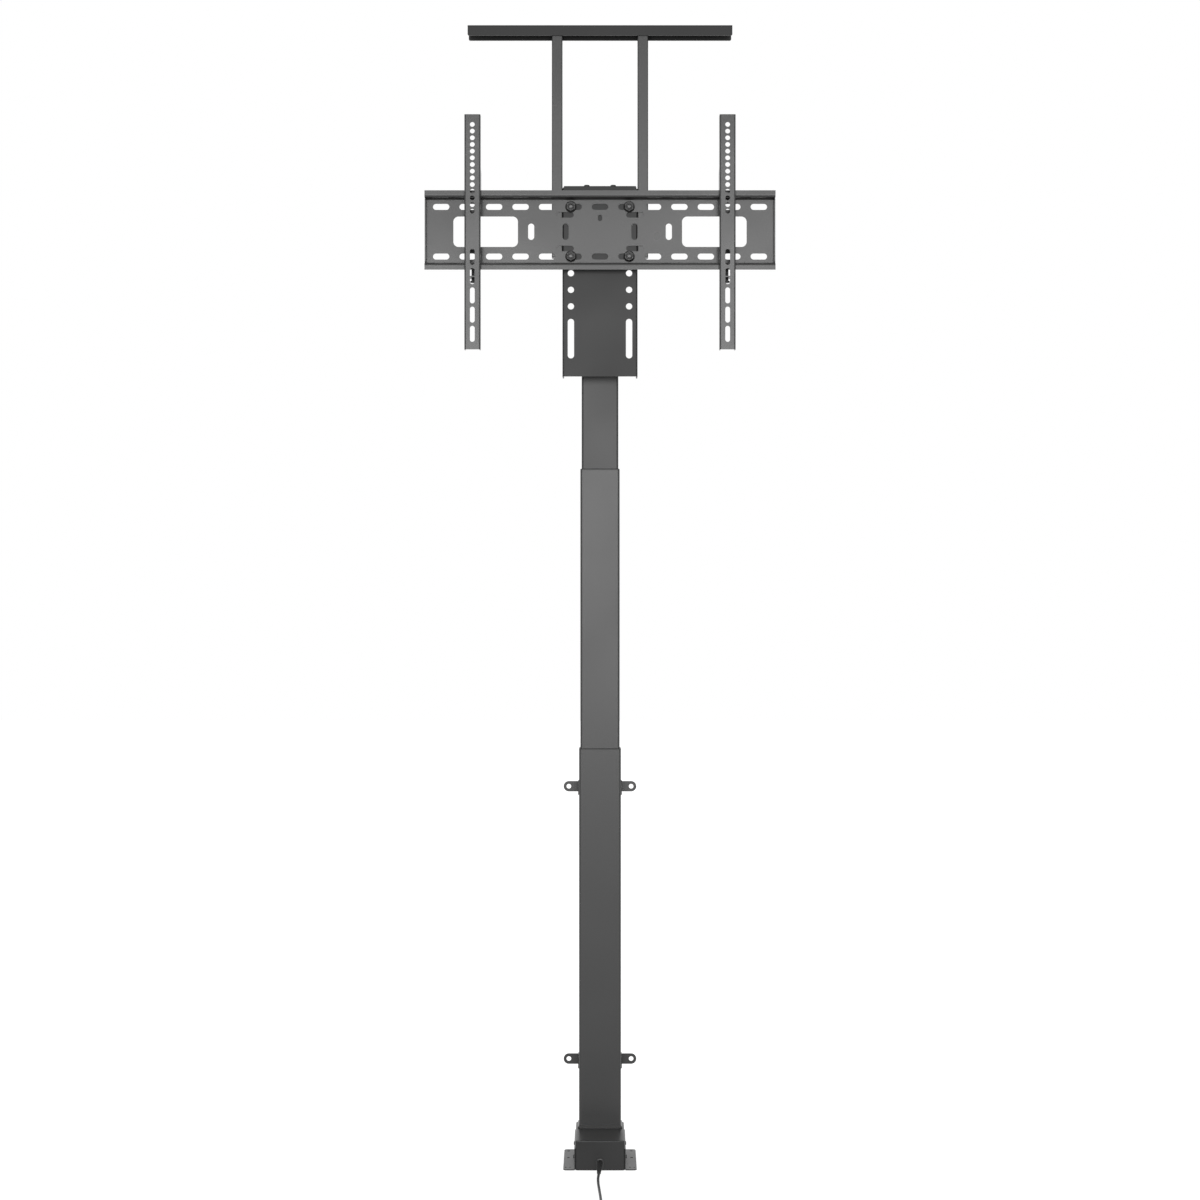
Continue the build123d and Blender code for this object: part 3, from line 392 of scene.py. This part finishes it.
deselect_all()
bpy.ops.mesh.primitive_cylinder_add(vertices=40, radius=BOOT_TIP_RADIUS, depth=NECK_DISC)
connector = start_piece("connector_body")
select_faces(connector, lambda centre, normal: normal.z > FACING)
for rise, scale in NECK_STAGES + GRIP_RIBS * RIB_STAGES + NOSE_STAGES:
    extrude((0, 0, rise), (scale, scale, 1))
bpy.ops.object.mode_set(mode="OBJECT")
corners = [vertex.co for vertex in connector.data.vertices]
body_reach = max(math.hypot(corner.x, corner.y) for corner in corners)
body_top = max(corner.z for corner in corners)
print("connector body:", round(body_reach * 1000, 2), "mm radius,", round(body_top * 1000, 1), "mm long")
axis_turn = tail_direction.to_track_quat("Z", "Y")
stand_along(connector, axis_turn, tail_end)
close_piece(connector, "base", smooth_angle=30)

# %% Metal shell
SHELL_RADIUS = 0.0058
SHELL_WALL = 0.0004
SHELL_LENGTH = 0.0075
SHELL_FLOOR = 0.001
SHELL_ROUNDING = 0.00012
SHELL_END = 0.030

deselect_all()
bpy.ops.mesh.primitive_cylinder_add(vertices=40, radius=SHELL_RADIUS, depth=SHELL_LENGTH)
shell = start_piece("connector_shell")
select_faces(shell, lambda centre, normal: normal.z > FACING)
bpy.ops.mesh.inset(thickness=SHELL_WALL)
extrude((0, 0, SHELL_FLOOR - SHELL_LENGTH))
bpy.ops.object.mode_set(mode="OBJECT")
add_bevel(shell, SHELL_ROUNDING, angle=50)
stand_along(shell, axis_turn, tail_end + tail_direction * (SHELL_END - SHELL_LENGTH / 2))
close_piece(shell, "base")

# %% [markdown]
# The contacts are thin nickel-plated pins in an arc inside the shell. One pin is modelled and the others are
# its copies. Each copy gets a mesh of its own, because its place goes into its mesh.

# %% Contact pins
PIN_RADIUS = 0.0005
PIN_LENGTH = 0.005
PIN_TIP = 0.0004
PIN_TIP_SCALE = 0.4
PIN_FORWARD = 0.0028
PIN_CIRCLE = 0.0033
PIN_COUNT = 5
PIN_FIRST_ANGLE = 45
PIN_ARC = 270


def numbered_copies(piece, count):
    """The piece, whose name ends in 1, and its copies, whose names count on."""
    pieces = [piece]
    for number in range(2, count + 1):
        copy = piece.copy()
        copy.data = piece.data.copy()
        copy.name = piece.name.removesuffix("1") + str(number)
        bpy.context.scene.collection.objects.link(copy)
        pieces.append(copy)
    return pieces


deselect_all()
bpy.ops.mesh.primitive_cylinder_add(vertices=12, radius=PIN_RADIUS, depth=PIN_LENGTH)
pin = start_piece("connector_pin_1")
select_faces(pin, lambda centre, normal: normal.z > FACING)
extrude((0, 0, PIN_TIP), (PIN_TIP_SCALE, PIN_TIP_SCALE, 1))
bpy.ops.object.mode_set(mode="OBJECT")
pins = numbered_copies(pin, PIN_COUNT)
pin_middle = tail_end + tail_direction * (SHELL_END - SHELL_LENGTH + PIN_FORWARD)
for index, one in enumerate(pins):
    turn = math.radians(PIN_FIRST_ANGLE + index * PIN_ARC / (PIN_COUNT - 1))
    offset = axis_turn @ Vector((PIN_CIRCLE * math.cos(turn), PIN_CIRCLE * math.sin(turn), 0))
    stand_along(one, axis_turn, pin_middle + offset)
    close_piece(one, "base")

# %% [markdown]
# ## The cord tie
# A hook-and-loop strap holds the wound lead together. It is a thin band round the bundle's section, so a box
# without its two open ends, bevelled along its corners and thickened with Solidify, has its shape.

# %% Strap round the coil
STRAP_ACROSS = 0.0212
STRAP_WIDTH = 0.012
STRAP_HEIGHT = 0.0109
STRAP_MIDDLE = 0.00555
STRAP_CORNER = 0.0022
STRAP_SHEET = 0.0009
STRAP_ANGLE = math.radians(100)
COIL_MEAN = (INNER_TURN + OUTER_TURN) / 2

deselect_all()
bpy.ops.mesh.primitive_cube_add(
    size=1, location=(0, 0, STRAP_MIDDLE), scale=(STRAP_ACROSS, STRAP_WIDTH, STRAP_HEIGHT)
)
strap = start_piece("coil_strap")
select_faces(strap, lambda centre, normal: abs(normal.y) > FACING)
bpy.ops.mesh.delete(type="FACE")
bpy.ops.mesh.select_all(action="SELECT")
bpy.ops.mesh.subdivide(number_cuts=2)
bpy.ops.object.mode_set(mode="OBJECT")
bpy.ops.object.transform_apply(location=True, rotation=True, scale=True)
add_bevel(strap, STRAP_CORNER, segments=4, angle=60)
thickness = strap.modifiers.new("thickness", "SOLIDIFY")
thickness.thickness = STRAP_SHEET
thickness.offset = -1
strap.rotation_euler = (0, 0, STRAP_ANGLE)
outwards = Vector((math.cos(STRAP_ANGLE), math.sin(STRAP_ANGLE), 0))
strap.location = COIL_CENTRE + outwards * COIL_MEAN
close_piece(strap, "base")

# %% [markdown]
# ## Weld beads
# The wall lugs are welded to the outer tube along the upper and lower ends of their cheeks. A bead is a row
# of overlapping drops. A long thin cylinder, cut across many times and swollen at every other cut, looks just
# like it after one subdivision. One bead is modelled and copied to each seam.

# %% One bead
BEAD_LENGTH = 0.017
BEAD_WAIST_RADIUS = 0.00078
BEAD_SWELL = 1.32
BEAD_DROPS = 9
bead_step = BEAD_LENGTH / (2 * BEAD_DROPS)

deselect_all()
bpy.ops.mesh.primitive_cylinder_add(
    vertices=10, radius=BEAD_WAIST_RADIUS, depth=bead_step, rotation=(QUARTER_TURN, 0, 0)
)
bead = start_piece("weld_bead_1", apply_turn=True)
for cut in range(2 * BEAD_DROPS - 1):
    swell = BEAD_SWELL if cut % 2 == 0 else 1 / BEAD_SWELL
    select_faces(bead, lambda centre, normal: normal.y > FACING)
    extrude((0, bead_step, 0), (swell, 1, swell))
bpy.ops.object.mode_set(mode="OBJECT")
smoothing = bead.modifiers.new("smoothing", "SUBSURF")
smoothing.levels = 1
smoothing.render_levels = 1
apply_modifiers(bead)
middle = sum((vertex.co for vertex in bead.data.vertices), Vector()) / len(bead.data.vertices)
bead.data.transform(Matrix.Translation(-middle))
print("bead:", round(bead.dimensions.y * 1000, 1), "mm long")

# %% Beads on every seam
LUG_CENTRES = (0.177, 0.702)
CHEEK_ABOVE = 0.012
CHEEK_BELOW = 0.015
CHEEK_MIDDLE = 0.014
CHEEK_FACE = 0.0405

seams = [
    (side * CHEEK_FACE, CHEEK_MIDDLE, height + offset)
    for side in (-1, 1)
    for height in LUG_CENTRES
    for offset in (CHEEK_ABOVE, -CHEEK_BELOW)
]
beads = numbered_copies(bead, len(seams))
for one, seam in zip(beads, seams):
    one.location = seam
    close_piece(one, "base", smooth_angle=60)
print("beads:", len(beads))

# %% [markdown]
# ## Bolt crowns
# The rail's four bolts are cold forged. Their hexagon ends in a round crown with a dish and a blunt pip in
# the middle, where the die's parts met. The pip and the thin rim catch the light and the dish's slopes stay
# dark. A disc whose front is inset and pushed in, then inset again and pulled out, has this shape.

# %% Crown of one bolt
CROWN_RADIUS = 0.0077
CROWN_RISE = 0.0016
CROWN_RIM = 0.0008
CROWN_ROUNDING = 0.0002
DISH_DEPTH = 0.0012
DISH_LAND = 0.0004
PIP_RISE = 0.0010
SLOPE_NARROWS = 0.7

deselect_all()
bpy.ops.mesh.primitive_cylinder_add(
    vertices=48, radius=CROWN_RADIUS, depth=CROWN_RISE, rotation=(QUARTER_TURN, 0, 0)
)
crown = start_piece("bolt_crown_1", apply_turn=True)
select_faces(crown, lambda centre, normal: normal.y < -FACING)
for border, push in ((CROWN_RIM, DISH_DEPTH), (DISH_LAND, -PIP_RISE)):
    bpy.ops.mesh.inset(thickness=border)
    extrude((0, push, 0), (SLOPE_NARROWS, 1, SLOPE_NARROWS))
bpy.ops.object.mode_set(mode="OBJECT")
add_bevel(crown, CROWN_ROUNDING, angle=25)
apply_modifiers(crown)

# %% Crowns on the four bolts
BOLT_SPREAD = 0.110
BOLT_HEIGHTS = (1.80350, 1.70975)
CROWN_SUNK = 0.0001

head_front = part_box("rail_bolts")[0][1]
crown_places = [(side * BOLT_SPREAD / 2, height) for side in (-1, 1) for height in BOLT_HEIGHTS]
crowns = numbered_copies(crown, len(crown_places))
for one, (across, height) in zip(crowns, crown_places):
    one.location = (across, head_front - CROWN_RISE / 2 + CROWN_SUNK, height)
    close_piece(one, "head")
print("crowns:", len(crowns), "front of the heads:", round(head_front, 4))

# %% [markdown]
# ## Finishes
# Colours are written as sRGB hex values, as a colour picker gives them, and turned to the linear values that
# shaders use. One function adds a node, sets its fields and links its inputs.

# %% Colour and node helpers


def linear(hex_colour):
    """sRGB hex to linear RGBA."""
    channels = [int(hex_colour[start : start + 2], 16) / 255 for start in (1, 3, 5)]
    values = [c / 12.92 if c <= 0.04045 else ((c + 0.055) / 1.055) ** 2.4 for c in channels]
    return (*values, 1.0)


def add_node(owner, kind, inputs=(), **fields):
    """Adds a node. Inputs are pairs of a socket's name or number and a value or another node's output."""
    node = owner.node_tree.nodes.new(kind)
    for name, value in fields.items():
        setattr(node, name, value)
    for socket, value in inputs:
        if isinstance(value, bpy.types.NodeSocket):
            owner.node_tree.links.new(value, node.inputs[socket])
        else:
            node.inputs[socket].default_value = value
    return node


def new_finish(name):
    """Empty node material, ready for its pattern."""
    material = bpy.data.materials.new(name)
    material.use_nodes = True
    material.node_tree.nodes.clear()
    return material


def close_finish(material, shader_inputs):
    """Adds the surface shader and the output."""
    shader = add_node(material, "ShaderNodeBsdfPrincipled", shader_inputs)
    add_node(material, "ShaderNodeOutputMaterial", [("Surface", shader.outputs[0])])
    return material


def dress(finish, *names):
    """Gives CAD nodes or pieces their finish."""
    for name in names:
        thing = bpy.data.objects[name]
        thing.data.materials.clear()
        thing.data.materials.append(finish)
    print(finish.name, "on", len(names), "pieces")


print("the hex value #808080 is", round(linear("#808080")[0], 3), "to a shader")

# %% [markdown]
# Every finish is built from the same few steps: a pattern of a known size in millimetres, a blend of two
# colours by that pattern, a range of roughness and a small relief. Each step is one function that hands on
# its node's output.

# %% Steps of a finish
MM_IN_METRE = 1000


def own_place(material):
    """Coordinates that are fixed to the piece, in metres."""
    return add_node(material, "ShaderNodeTexCoord").outputs["Object"]


def noise(material, vector, size_mm, detail):
    """Soft noise whose patches are about so many millimetres across."""
    inputs = [("Vector", vector), ("Scale", MM_IN_METRE / size_mm), ("Detail", detail)]
    return add_node(material, "ShaderNodeTexNoise", inputs).outputs[0]


def spread(material, value, low, high, start=0.0, end=1.0, **fields):
    """Turns what lies between start and end into the range from low to high."""
    inputs = [("Value", value), ("From Min", start), ("From Max", end), ("To Min", low), ("To Max", high)]
    return add_node(material, "ShaderNodeMapRange", inputs, **fields).outputs[0]


def blend(material, amount, colour, pale):
    """Colour between two hex values. Sockets 6 and 7 and output 2 are the Mix node's colours."""
    inputs = [(0, amount), (6, linear(colour)), (7, linear(pale))]
    return add_node(material, "ShaderNodeMix", inputs, data_type="RGBA").outputs[2]


def relief(material, height, strength, distance):
    """Normal of a surface with small bumps, their height in metres."""
    inputs = [("Height", height), ("Strength", strength), ("Distance", distance)]
    return add_node(material, "ShaderNodeBump", inputs).outputs[0]


print("a pattern of 1 mm has the scale", MM_IN_METRE)

# %% [markdown]
# ### Satin powder coat
# Almost everything here is folded steel with powder coat: a polyester powder, sprayed on dry and baked, so it
# flows into a skin with a faint orange peel. To the eye it is a dark grey with a soft, wide sheen, a little
# uneven from one hand's breadth to the next, and with the odd pale grain of dust in it. The peel is about
# 1.5 mm across on the real coat and 2.5 mm here, so that it shows. The parts were coated in different
# batches, so the coats differ in tone and gloss. A lower specular level makes a coat drier, as on the
# bracket, whose front is much darker than the rail's. The lid bar also wears the bracket's darker coat, as
# painted shade, because it stands at the top of the frame where less light falls.

# %% Powder coat
PEEL_MM = 2.5
PEEL_STRENGTH = 0.12
PEEL_HEIGHT = 0.0002
CLOUD_MM = 120.0
CLOUD_RANGE = (0.15, 0.85)
CLOUD_SHARE = 0.4
GRAIN_MM = 0.9
GRAIN_RANGE = (0.6, 0.8)
GRAIN_SHARE = 0.5
UNEVEN_GLOSS = 0.06


def powder_coat(name, colour, pale, roughness, specular=0.5):
    """Coat of one colour: cloudy tone, pale grains, uneven roughness and orange peel."""
    coat = new_finish(name)
    place = own_place(coat)
    cloud = noise(coat, place, CLOUD_MM, detail=1.0)
    grain = noise(coat, place, GRAIN_MM, detail=2.0)
    peel = noise(coat, place, PEEL_MM, detail=1.5)
    cloudy = spread(coat, cloud, 0.0, CLOUD_SHARE, *CLOUD_RANGE)
    specks = spread(coat, grain, 0.0, GRAIN_SHARE, *GRAIN_RANGE)
    amount = add_node(coat, "ShaderNodeMath", [(0, cloudy), (1, specks)], operation="ADD", use_clamp=True)
    rough = spread(coat, cloud, roughness - UNEVEN_GLOSS, roughness + UNEVEN_GLOSS, *CLOUD_RANGE)
    return close_finish(
        coat,
        [
            ("Base Color", blend(coat, amount.outputs[0], colour, pale)),
            ("Roughness", rough),
            ("Specular IOR Level", specular),
            ("Normal", relief(coat, peel, PEEL_STRENGTH, PEEL_HEIGHT)),
        ],
    )


graphite_coat = powder_coat("graphite_powder_coat", "#2A2A2A", "#343434", roughness=0.29)
# The bracket's own darker coat. On the lid bar the same coat is painted shade for the less lit top of the
# frame.
bracket_coat_and_lid_shade = powder_coat("dark_grey_coat_and_lid_shade", "#202020", "#282828", roughness=0.44, specular=0.3)
column_coat = powder_coat("column_powder_coat", "#242424", "#2D2D2D", roughness=0.32)
inner_coat = powder_coat("inner_tube_powder_coat", "#242424", "#2D2D2D", roughness=0.38, specular=0.42)
black_coat = powder_coat("black_powder_coat", "#181818", "#1F1F1F", roughness=0.32, specular=0.42)
foot_coat = powder_coat("foot_powder_coat", "#262626", "#2E2E2E", roughness=0.34)

dress(graphite_coat, "rail_plate", "arm_left", "arm_right", "upright_left", "upright_right")
# The lid bar takes the bracket's darker coat as painted shade, because less light falls at the top of the
# frame.
dress(bracket_coat_and_lid_shade, "head_bracket", "head_carrier", "lid_bar")
lugs = [f"wall_lug_{level}_{side}" for level in ("lower", "upper") for side in ("left", "right")]
dress(column_coat, "outer_tube", "middle_tube", "base_collar", *lugs)
dress(inner_coat, "inner_tube")
dress(column_coat, *[one.name for one in beads])
dress(black_coat, "base_cover", "base_plate")
dress(foot_coat, "foot_left", "foot_right")

# %% [markdown]
# ### Black zinc
# The screws and bolts are steel with black passivated zinc: still a metal, but a dark one with a soft sheen
# and a faint grey mottle. Under the chemical black, the zinc's crystal gives patches a few tenths of a
# millimetre across, drawn here at 0.6 mm. Handling has rubbed the bolts' crowns a little brighter. The
# washers are plain steel with black oxide, which is darker and duller.

# %% Black zinc
CRYSTAL_MM = 0.6


def cells(material, size_mm, **fields):
    """Distance to the middle of the nearest cell, for cells of so many millimetres."""
    inputs = [("Vector", own_place(material)), ("Scale", MM_IN_METRE / size_mm)]
    return add_node(material, "ShaderNodeTexVoronoi", inputs, **fields).outputs["Distance"]


def black_plating(name, colour, pale, smooth, dull):
    """Dark plated steel whose crystals differ in tone and in gloss."""
    plating = new_finish(name)
    crystals = cells(plating, CRYSTAL_MM)
    return close_finish(
        plating,
        [
            ("Base Color", blend(plating, crystals, colour, pale)),
            ("Metallic", 1.0),
            ("Roughness", spread(plating, crystals, smooth, dull)),
        ],
    )


zinc = black_plating("black_zinc_plating", "#282828", "#444444", smooth=0.24, dull=0.4)
polished_zinc = black_plating("rubbed_black_zinc", "#2E2E2E", "#4C4C4C", smooth=0.2, dull=0.32)
black_oxide = black_plating("black_oxide", "#121212", "#1E1E1E", smooth=0.36, dull=0.5)
dress(zinc, "foot_screws", "case_screws", "motor_screws", "column_screws", "head_screws", "upright_screws")
dress(zinc, "rail_bolts", "rail_nuts", "lid_screws", "lid_inserts")
dress(zinc, "lock_screw_left", "lock_screw_right")
dress(polished_zinc, *[one.name for one in crowns])
dress(black_oxide, "rail_washers")

# %% [markdown]
# ### Moulded plastics
# The rings at the tubes' ends and the plugs are moulded black nylon: a spark-eroded mould leaves an even
# matt grain of about 0.4 mm. The nuts and slide pads inside are natural acetal, a milky white with a
# waxy sheen. Such plastics bend light a little more than a powder coat does, which their IOR says.

# %% Nylon and acetal
PLASTIC_IOR = 1.53
GRAIN_STRENGTH = 0.3
GRAIN_HEIGHT = 0.00008


def moulded_plastic(name, colour, pale, roughness, grain_mm):
    """Plastic with the eroded grain of its mould."""
    plastic = new_finish(name)
    grain = noise(plastic, own_place(plastic), grain_mm, detail=2.0)
    return close_finish(
        plastic,
        [
            ("Base Color", blend(plastic, grain, colour, pale)),
            ("Roughness", roughness),
            ("IOR", PLASTIC_IOR),
            ("Normal", relief(plastic, grain, GRAIN_STRENGTH, GRAIN_HEIGHT)),
        ],
    )


nylon = moulded_plastic("moulded_black_nylon", "#161616", "#1F1F1F", roughness=0.45, grain_mm=0.4)
acetal = moulded_plastic("natural_acetal", "#D8D6CC", "#E4E2DA", roughness=0.35, grain_mm=0.8)
dress(nylon, "outer_ring", "middle_ring", "head_plug", "upright_plugs")
dress(acetal, "middle_pads", "inner_pads", "lower_nut", "upper_nut")

# %% [markdown]
# ### Cord, boot and strap
# The lead's sheath is soft PVC, extruded smooth, with the twist of its cores just showing as a slow ripple.
# Boot and connector are harder moulded PVC. The strap is woven hook-and-loop tape.

# %% Soft goods of the cord
WEAVE_MM = 0.7
WEAVE_STRENGTH = 0.6
WEAVE_HEIGHT = 0.0002

sheath = moulded_plastic("soft_pvc_sheath", "#2A2A2A", "#373737", roughness=0.42, grain_mm=6.0)
moulded_pvc = moulded_plastic("moulded_pvc", "#161616", "#202020", roughness=0.3, grain_mm=0.5)
cord_curve.materials.append(sheath)
dress(moulded_pvc, "boot_ribs", "notch_plug", "connector_body")

tape = new_finish("hook_and_loop_tape")
weave = cells(tape, WEAVE_MM, distance="MANHATTAN")
close_finish(
    tape,
    [
        ("Base Color", blend(tape, weave, "#0F0F0F", "#2B2B2B")),
        ("Roughness", 0.9),
        ("Normal", relief(tape, weave, WEAVE_STRENGTH, WEAVE_HEIGHT)),
    ],
)
dress(tape, "coil_strap")

# %% [markdown]
# ### Bare metals inside
# The spindles and bearings are ground steel with fine rings from the wheel, the motor's can is rolled
# sheet with lines along it, and the gear case is a zinc die casting with a dull, cloudy skin. Noise that is
# drawn out along two axes gives rings, and along one axis it gives lines.

# %% Bare metals
METAL_UNEVEN_GLOSS = 0.08
RINGS = (0.05, 0.05, 1.0)
LINES = (1.0, 0.04, 1.0)
EVEN = (1.0, 1.0, 1.0)


def bare_metal(name, colour, pale, roughness, pattern_mm, stretch=EVEN):
    """Metal whose marks are drawn out along the axes where stretch is less than 1."""
    metal = new_finish(name)
    along = add_node(metal, "ShaderNodeMapping", [("Vector", own_place(metal)), ("Scale", stretch)])
    marks = noise(metal, along.outputs[0], pattern_mm, detail=4.0)
    rough = spread(metal, marks, roughness - METAL_UNEVEN_GLOSS, roughness + METAL_UNEVEN_GLOSS)
    return close_finish(
        metal,
        [("Base Color", blend(metal, marks, colour, pale)), ("Metallic", 1.0), ("Roughness", rough)],
    )


ground_steel = bare_metal("ground_steel", "#B4B6B9", "#D2D3D5", roughness=0.28, pattern_mm=0.8, stretch=RINGS)
rolled_steel = bare_metal("rolled_steel", "#8E9093", "#A9ABAE", roughness=0.38, pattern_mm=0.6, stretch=LINES)
die_casting = bare_metal("zinc_die_casting", "#8C8E92", "#A4A6AA", roughness=0.5, pattern_mm=6.0)
nickel = bare_metal("nickel_plating", "#B9B7B0", "#D0CEC8", roughness=0.22, pattern_mm=2.0)
dress(ground_steel, "lower_spindle", "upper_spindle", "drive_bush", "lower_bearing", "upper_bearing")
dress(rolled_steel, "motor")
dress(die_casting, "gear_case")
dress(nickel, "connector_shell", *[one.name for one in pins])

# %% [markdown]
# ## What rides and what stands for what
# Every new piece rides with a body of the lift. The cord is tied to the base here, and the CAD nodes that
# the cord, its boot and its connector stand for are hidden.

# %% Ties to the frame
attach(cord, "base")
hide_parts("cord", "cord_coil", "cord_tail")
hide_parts("cord_gland")
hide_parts("connector")

# %% [markdown]
# ## Floor
# The studio is white: a pale floor that runs into a white world. The floor's paint takes the lift's shadow.
# On top of it the floor glows, only for the camera and in reflections, a little less close to the lift and
# fading into the world's white further out, which hides where they meet.

# %% Floor
FLOOR_SIZE = 30
GLOW_NEAR = 0.84
GLOW_FAR = 1.0
GLOW_FROM = 0.15
GLOW_TO = 1.2


def larger(owner, first, second):
    """The larger of two values."""
    return add_node(owner, "ShaderNodeMath", [(0, first), (1, second)], operation="MAXIMUM").outputs[0]


deselect_all()
bpy.ops.mesh.primitive_plane_add(size=FLOOR_SIZE, location=(0, 0, 0))
floor = bpy.context.object
floor.name = "studio_floor"
paint = new_finish("pale_studio_floor")
distance = add_node(paint, "ShaderNodeVectorMath", [(0, own_place(paint))], operation="LENGTH")
fade = spread(
    paint,
    distance.outputs["Value"],
    GLOW_NEAR,
    GLOW_FAR,
    GLOW_FROM,
    GLOW_TO,
    interpolation_type="SMOOTHSTEP",
)
path = add_node(paint, "ShaderNodeLightPath")
seen = larger(paint, path.outputs["Is Camera Ray"], path.outputs["Is Glossy Ray"])
strength = add_node(paint, "ShaderNodeMath", [(0, fade), (1, seen)], operation="MULTIPLY")
glow = add_node(
    paint, "ShaderNodeEmission", [("Color", linear("#FFFFFF")), ("Strength", strength.outputs[0])]
)
matt = add_node(paint, "ShaderNodeBsdfDiffuse", [("Color", linear("#A8A8A8"))])
surface = add_node(paint, "ShaderNodeAddShader", [(0, matt.outputs[0]), (1, glow.outputs[0])])
add_node(paint, "ShaderNodeOutputMaterial", [("Surface", surface.outputs[0])])
floor.data.materials.append(paint)
print("floor:", FLOOR_SIZE, "m square")

# %% [markdown]
# ## World
# The world is white to the camera and in reflections, and a softer grey to everything else, so it doesn't
# wash the object out.

# %% World
AMBIENT = 0.7
WHITE = (1, 1, 1, 1)

world = bpy.data.worlds.new("white_studio")
bpy.context.scene.world = world
world.use_nodes = True
world.node_tree.nodes.clear()
path = add_node(world, "ShaderNodeLightPath")
camera_or_glossy = larger(world, path.outputs["Is Camera Ray"], path.outputs["Is Glossy Ray"])
shown = larger(world, camera_or_glossy, path.outputs["Is Transmission Ray"])
dim = add_node(world, "ShaderNodeBackground", [("Color", WHITE), ("Strength", AMBIENT)])
white = add_node(world, "ShaderNodeBackground", [("Color", WHITE), ("Strength", 1.0)])
mixed = add_node(world, "ShaderNodeMixShader", [(0, shown), (1, dim.outputs[0]), (2, white.outputs[0])])
add_node(world, "ShaderNodeOutputWorld", [("Surface", mixed.outputs[0])])
print("ambient light:", AMBIENT)

# %% [markdown]
# ## Lamps
# Two tall soft boxes stand beside the camera. Flat faces that look at the viewer mirror them as the wide grey
# sheen on the black coat, and every bend turns away from them and draws a dark line. A lamp looks down its
# own -Z, as a camera does, so the same quarter turn aims it along +Y.

# %% Lamps
BOX_ASIDE = 0.64
BOX_IN_FRONT = -4.3
BOX_HEIGHT = 1.7
BOX_SIZE = (0.8, 2.3)
BOX_POWER = 43

for label, side in (("left", -1), ("right", 1)):
    data = bpy.data.lights.new(f"soft_box_{label}", "AREA")
    data.shape = "RECTANGLE"
    data.size, data.size_y = BOX_SIZE
    data.energy = BOX_POWER
    lamp = bpy.data.objects.new(f"soft_box_{label}", data)
    lamp.location = (side * BOX_ASIDE, BOX_IN_FRONT, BOX_HEIGHT)
    lamp.rotation_euler = (QUARTER_TURN, 0, 0)
    lamp.visible_camera = False
    bpy.context.scene.collection.objects.link(lamp)
    print(lamp.name, BOX_POWER, "W")
bpy.context.scene.view_settings.view_transform = "Standard"
